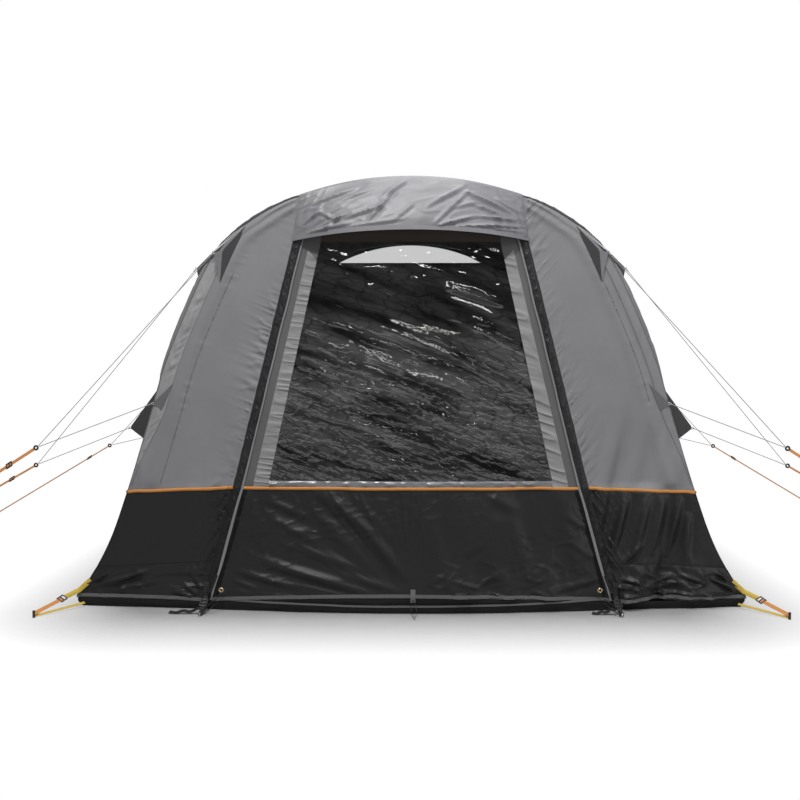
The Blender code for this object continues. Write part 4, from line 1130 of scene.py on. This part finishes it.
def make_feet():
    """Straps, buckles, loops and pegs at the feet of the zips, and the door's own loop and peg."""
    for side, sign in SIDES:
        nodes = ["zip_strip_" + side]

        def strap(part, points, width, thick, facing=AHEAD):
            band(part + "_" + side, points, width, thick, facing, "black_strap", nodes=nodes)

        def loop(part, a, b, wire, facing):
            cord_loop(part + "_" + side, a, b, 0.020, wire, facing, nodes)

        z = np.linspace(0.140, 0.076, 40)
        tab = front_point(sign * (zip_x(0.10) + STRIP_WIDTH * 0.80), z)
        tab[:, 1] -= 0.010 + 0.0012 * np.sin(z * 800)
        strap("foot_tab", tab, 0.026, 0.003)
        foot = np.array([sign * FOOT[0], FOOT[1], GRIP_Z])
        low = tab[-1] + [0, -0.004, 0]
        way = foot - low
        strap("foot_strap", np.vstack([tab[-1], line(low, foot, 14)]), 0.021, 0.0022, (0, -1, 0.3))
        buckle("foot_buckle_" + side, low + way * 0.42, way, (0, -1, 0.6), 0.031, 0.048, nodes)
        # the zip's own tape comes down to a small loop, and an elastic runs from the hem to the peg
        z = np.linspace(0.175, 0.088, 12)
        tape = front_point(sign * (zip_x(z) + 0.006 + 0.10 * (0.175 - z)), z, 0.013)
        strap("zip_end", tape, 0.013, 0.004)
        end = tape[-1] + [sign * 0.014, -0.012, -0.038]
        loop("zip_loop", tape[-1] + [0, -0.003, 0.004], end, 0.0022, (0, -1, 0.1))
        start = front_point(sign * 0.912, 0.078, 0.010)
        loop("foot_elastic", start, foot + [sign * 0.003, -0.006, 0.002], 0.0030, (0, -0.8, 0.6))
        s = np.linspace(0, 1, 30)
        reach = 0.180 if sign < 0 else -0.110
        tail = np.stack([sign * (0.985 + reach * s), FOOT[1] + 0.035 + 0.020 * s + 0.005 * np.sin(s * 6),
                         0.005 + 0.020 * (1 - s) ** 2 + 0.012 * np.sin(s * 7.5) ** 2 * (1 - 0.6 * s)], -1)
        strap("foot_tail", tail, 0.021, 0.0022, (0, -0.5, 1))
        peg("foot_peg_head_" + side, foot - [0, 0, GRIP_Z], 0.02, AHEAD, nodes)
        eye = front_point(sign * 0.925, 0.100, 0.003)
        ring_mesh("eyelet_" + side, eye, AHEAD, 0.0085, 0.0030, "brass")
        ring_mesh("eyelet_rim_" + side, eye + [0, 0.001, 0], AHEAD, 0.0125, 0.0016, "piping")
    nodes = ["door_skirt"]
    tab = front_point(0.012, np.linspace(0.122, 0.060, 12), 0.006)
    band("centre_tab", tab, 0.024, 0.0025, AHEAD, "seam", nodes=nodes)
    ground = np.array([*CENTRE_PEG, GRIP_Z])
    cord_loop("centre_loop", tab[-1] + [0, -0.003, 0.012], ground, 0.026, 0.0022, (0, -0.6, 0.4), nodes)
    peg("centre_peg", ground - [0, 0, GRIP_Z], 0.018, AHEAD, nodes)


def make_corner_straps():
    for side, sign in SIDES:
        nodes = ["corner_strap_" + side]
        ground = np.array([sign * CORNER_PEG[0], CORNER_PEG[1], 0.0])
        a = front_point(sign * 1.585, 0.135, 0.006)
        b = front_point(sign * 1.640, 0.085, 0.007)
        c = np.array([sign * 1.70, front_y(1.64, 0.085) - 0.05, 0.058])
        way = ground - c
        low = np.array([sign * 1.615, front_y(1.60, HEM_Z) - 0.007, 0.022])
        foot = ground + [-sign * 0.004, 0.002, 0.009]
        for part, points, width, facing, look in (
            ("tab", np.vstack([line(a, b, 6)[:-1], line(b, c, 6)]), 0.024, (0, -1, 0.15), "yellow_strap"),
            ("web", line(c + way * 0.08, ground + [0, 0, 0.020], 10), 0.020, (0, -1, 0.5), "orange_strap"),
            ("lower", line(low, foot, 10), 0.012, (0, -1, 0.5), "yellow_strap"),
        ):
            band("corner_" + part + "_" + side, points, width, 0.002, facing, look, nodes=nodes)
        buckle("corner_buckle_" + side, c + way * 0.10, way, (0, -1, 0.6), 0.030, 0.040, nodes)
        sweep("corner_peg_" + side, line(ground + [0, 0, 0.0005], ground + [0, 0, 0.034], 5),
              round_section(0.0065, 12), AHEAD, "buckle", nodes=nodes)


def make_patch(label, beam, depth, sign, first, last, tip):
    """Patch between a sewn edge, from first to last, and the tip where the line starts. Gives the tip.

    On the front wall the upper one is a gusset: a dark facet off the wall, painted shade, a light one back to
    the sleeve in the wall's own cloth, and a pale one on top, painted light.
    """
    def facet(name, a, b, end, look):
        s = np.linspace(0, 0.95, 10)[:, None, None]
        cloth(name + "_" + label, line(a, b, 14)[None] * (1 - s) + end * s, look,
              ["guy_" + label], thick=0.002)

    if beam != "front":
        x, z = outline(beam, np.array([first, last]), HALF + 0.001)
        end = np.array([sign * tip[0], depth, tip[1]])
        # dark grey here too: painted shade
        facet("guy_patch", *(np.array([sign * x[k], depth, z[k]]) for k in (0, 1)), end, "gusset")
        return end
    end = np.array([sign * tip[0], front_y(*tip) - 0.012, tip[1]])
    a, b, ridge, crest = (front_point(sign * at[0], at[1], lift) for at, lift in (
        (first, 0.003), (last, 0.003), ((0.921, 1.758), 0.024), ((0.934, 1.808), -0.020)))
    if label.startswith("lower"):
        facet("guy_patch", a, b, end, "fin")
    else:
        # the dark facet is painted shade, the pale top facet painted light
        facet("guy_patch_dark", a, b, ridge, "gusset")
        facet("guy_patch_light", ridge, b, end, "wall")
        facet("guy_patch_top", a, crest, end, "pale")
    return end


def make_guys():
    """Guy lines: both lines of a pair run to a ring, and a strap with a buckle on to the peg."""
    level = (0, 1, 0)
    for beam, plan in GUYS.items():
        depth = plan["depth"]
        broad = (0, -plan["turn"], 1)  # the way that the strap's broad side faces
        for side, sign in SIDES:
            ring = np.array([sign * plan["ring"][0], depth, plan["ring"][1]])
            ground = np.array([sign * plan["peg"], depth, 0.0])
            down = unit(ground - ring)
            for part in ("upper", "lower"):
                label = "%s_%s_%s" % (part, beam, side)
                node = ["guy_" + label]
                tip = make_patch(label, beam, depth, sign, *plan[part])
                ring_mesh("guy_eye_" + label, tip, level, 0.006, 0.0013, "steel", node)
                end = ring - down * 0.010 if part == "upper" else ring + unit(tip - ring) * 0.0165
                rod("guy_cord_" + label, line(tip, end, 24), 0.0019, "cord", node, level)
                knot = line(tip + (end - tip) * 0.004, tip + (end - tip) * 0.016, 4)
                rod("guy_knot_" + label, knot, 0.0036, "cord", node, level)
            label = "upper_%s_%s" % (beam, side)
            node = ["guy_" + label]
            ring_mesh("guy_ring_" + label, ring, level, 0.0090, 0.0048, "buckle", node)
            web = line(ring + down * 0.010, ground + [0, 0, 0.020], 30)
            band("guy_web_" + label, web, WEB_WIDTH, 0.002, broad, "orange_strap", node)
            buckle("guy_buckle_" + label, ring + down * 0.16, down, broad, WEB_WIDTH + 0.005, 0.034, node)
            peg("guy_peg_" + label, ground, 0.043, (sign, 0, 0), node)


# The studio

def lamp(name, at, target, width, height, power, colour=(1, 1, 1)):
    data = bpy.data.lights.new(name, "AREA")
    data.shape = "RECTANGLE"
    data.size, data.size_y = width, height
    data.energy = power
    data.color = colour
    made = bpy.data.objects.new(name, data)
    made.location = at
    made.rotation_euler = (Vector(target) - Vector(at)).to_track_quat("-Z", "Y").to_euler()
    bpy.context.scene.collection.objects.link(made)


def make_studio():
    """Camera, lamps, and a hall that only shows in the reflections; the camera sees white."""
    camera = bpy.data.cameras.new("camera")
    camera.lens = 47.57
    camera.sensor_width = 36
    camera.clip_end = 100
    view = bpy.data.objects.new("camera", camera)
    view.location = (0.0, -5.13 - CENTRE_Y, 1.245)
    view.rotation_euler = (math.radians(90 - 2.405), 0.0, math.radians(0.57))
    bpy.context.scene.collection.objects.link(view)
    bpy.context.scene.camera = view
    lamp("key", (-1.3, -4.6, 6.4), (0, -1.2, 1.0), 0.9, 0.7, 215, (1.0, 0.985, 0.96))
    lamp("right", (3.6, -4.6, 4.6), (0, -1.0, 1.0), 1.0, 1.0, 42, (0.94, 0.97, 1.0))
    lamp("low_right", (4.4, -3.6, 1.3), (0.6, -1.3, 0.4), 0.8, 1.6, 20)
    lamp("top", (0.3, -0.9, 6.0), (0, -0.9, 0), 5.0, 1.8, 140)
    for height, away in ((4.2, -7.5), (6.2, -8.5)):
        lamp("tube", (0.4, away, height), (0, -1.2, 1.2), 3.0, 0.12, 20)

    world = bpy.data.worlds.new("studio")
    bpy.context.scene.world = world
    world.use_nodes = True
    tree = world.node_tree
    hall = tree.nodes["Background"]
    up = add(tree, "SeparateXYZ", add(tree, "TexCoord").outputs["Generated"]).outputs["Z"]
    steps = [(0.36, 0.24), (0.44, 0.90)]
    for at, grey in ((0.495, 0.90), (0.53, 0.03), (0.72, 0.03), (0.85, 0.34)):
        steps.append((at, (grey, grey, grey * 1.04)))
    tones = ramp_of(tree, scaled(tree, up, -1.0), steps)
    tree.links.new(tones, hall.inputs["Color"])
    white = add(tree, "Background", (1, 1, 1, 1), 1.0)
    seen = add(tree, "LightPath").outputs["Is Camera Ray"]
    mixed = add(tree, "MixShader", seen, hall.outputs[0], white.outputs[0])
    tree.links.new(mixed.outputs[0], tree.nodes["World Output"].inputs["Surface"])
    bpy.context.scene.view_settings.view_transform = "Standard"


def make_floor():
    """Grey studio floor that fades out into the white round it; the grey kept near the footprint is a painted
    shadow.
    """
    size = 14.0
    mesh = bpy.data.meshes.new("floor")
    corners = [(-size, -size, 0), (size, -size, 0), (size, size, 0), (-size, size, 0)]
    mesh.from_pydata(corners, [], [(0, 1, 2, 3)])
    tree, main = shader("floor", (0.62, 0.62, 0.62), 0.7, 0.2)
    where = place_of(tree)
    # painted shadow: the floor is a mid grey, which only shows near the footprint
    tones = ramp_of(tree, cloud(tree, where, 9.0, 8.0), ((0.0, (0.35, 0.35, 0.355)), (1.0, 0.44)))
    tree.links.new(tones, main.inputs["Base Color"])
    # it fades out over a short way round the footprint into the white, so the grey near the footprint reads
    # as a shadow: a painted shadow, over the lamps' own shadows
    side = add(tree, "VectorMath", where, operation="ABSOLUTE").outputs[0]
    beyond = add(tree, "VectorMath", side, (1.22, 1.33, 0), operation="SUBTRACT").outputs[0]
    kept = add(tree, "VectorMath", beyond, operation="MAXIMUM").outputs[0]
    reach = add(tree, "VectorMath", kept, operation="LENGTH").outputs["Value"]
    tree.links.new(scaled(tree, reach, 0.15, 0.85, 1.0, 0.0), main.inputs["Alpha"])
    mesh.materials.append(materials["floor"])
    made = bpy.data.objects.new("floor", mesh)
    bpy.context.scene.collection.objects.link(made)


make_materials()
make_studio()
make_floor()
make_front_walls()
make_sleeve()
make_header()
make_door()
make_strips()
make_trims()
make_hood()
make_shell()
make_beams()
make_rear()
make_tunnel()
make_flap()
make_feet()
make_corner_straps()
make_guys()

bpy.context.view_layer.update()
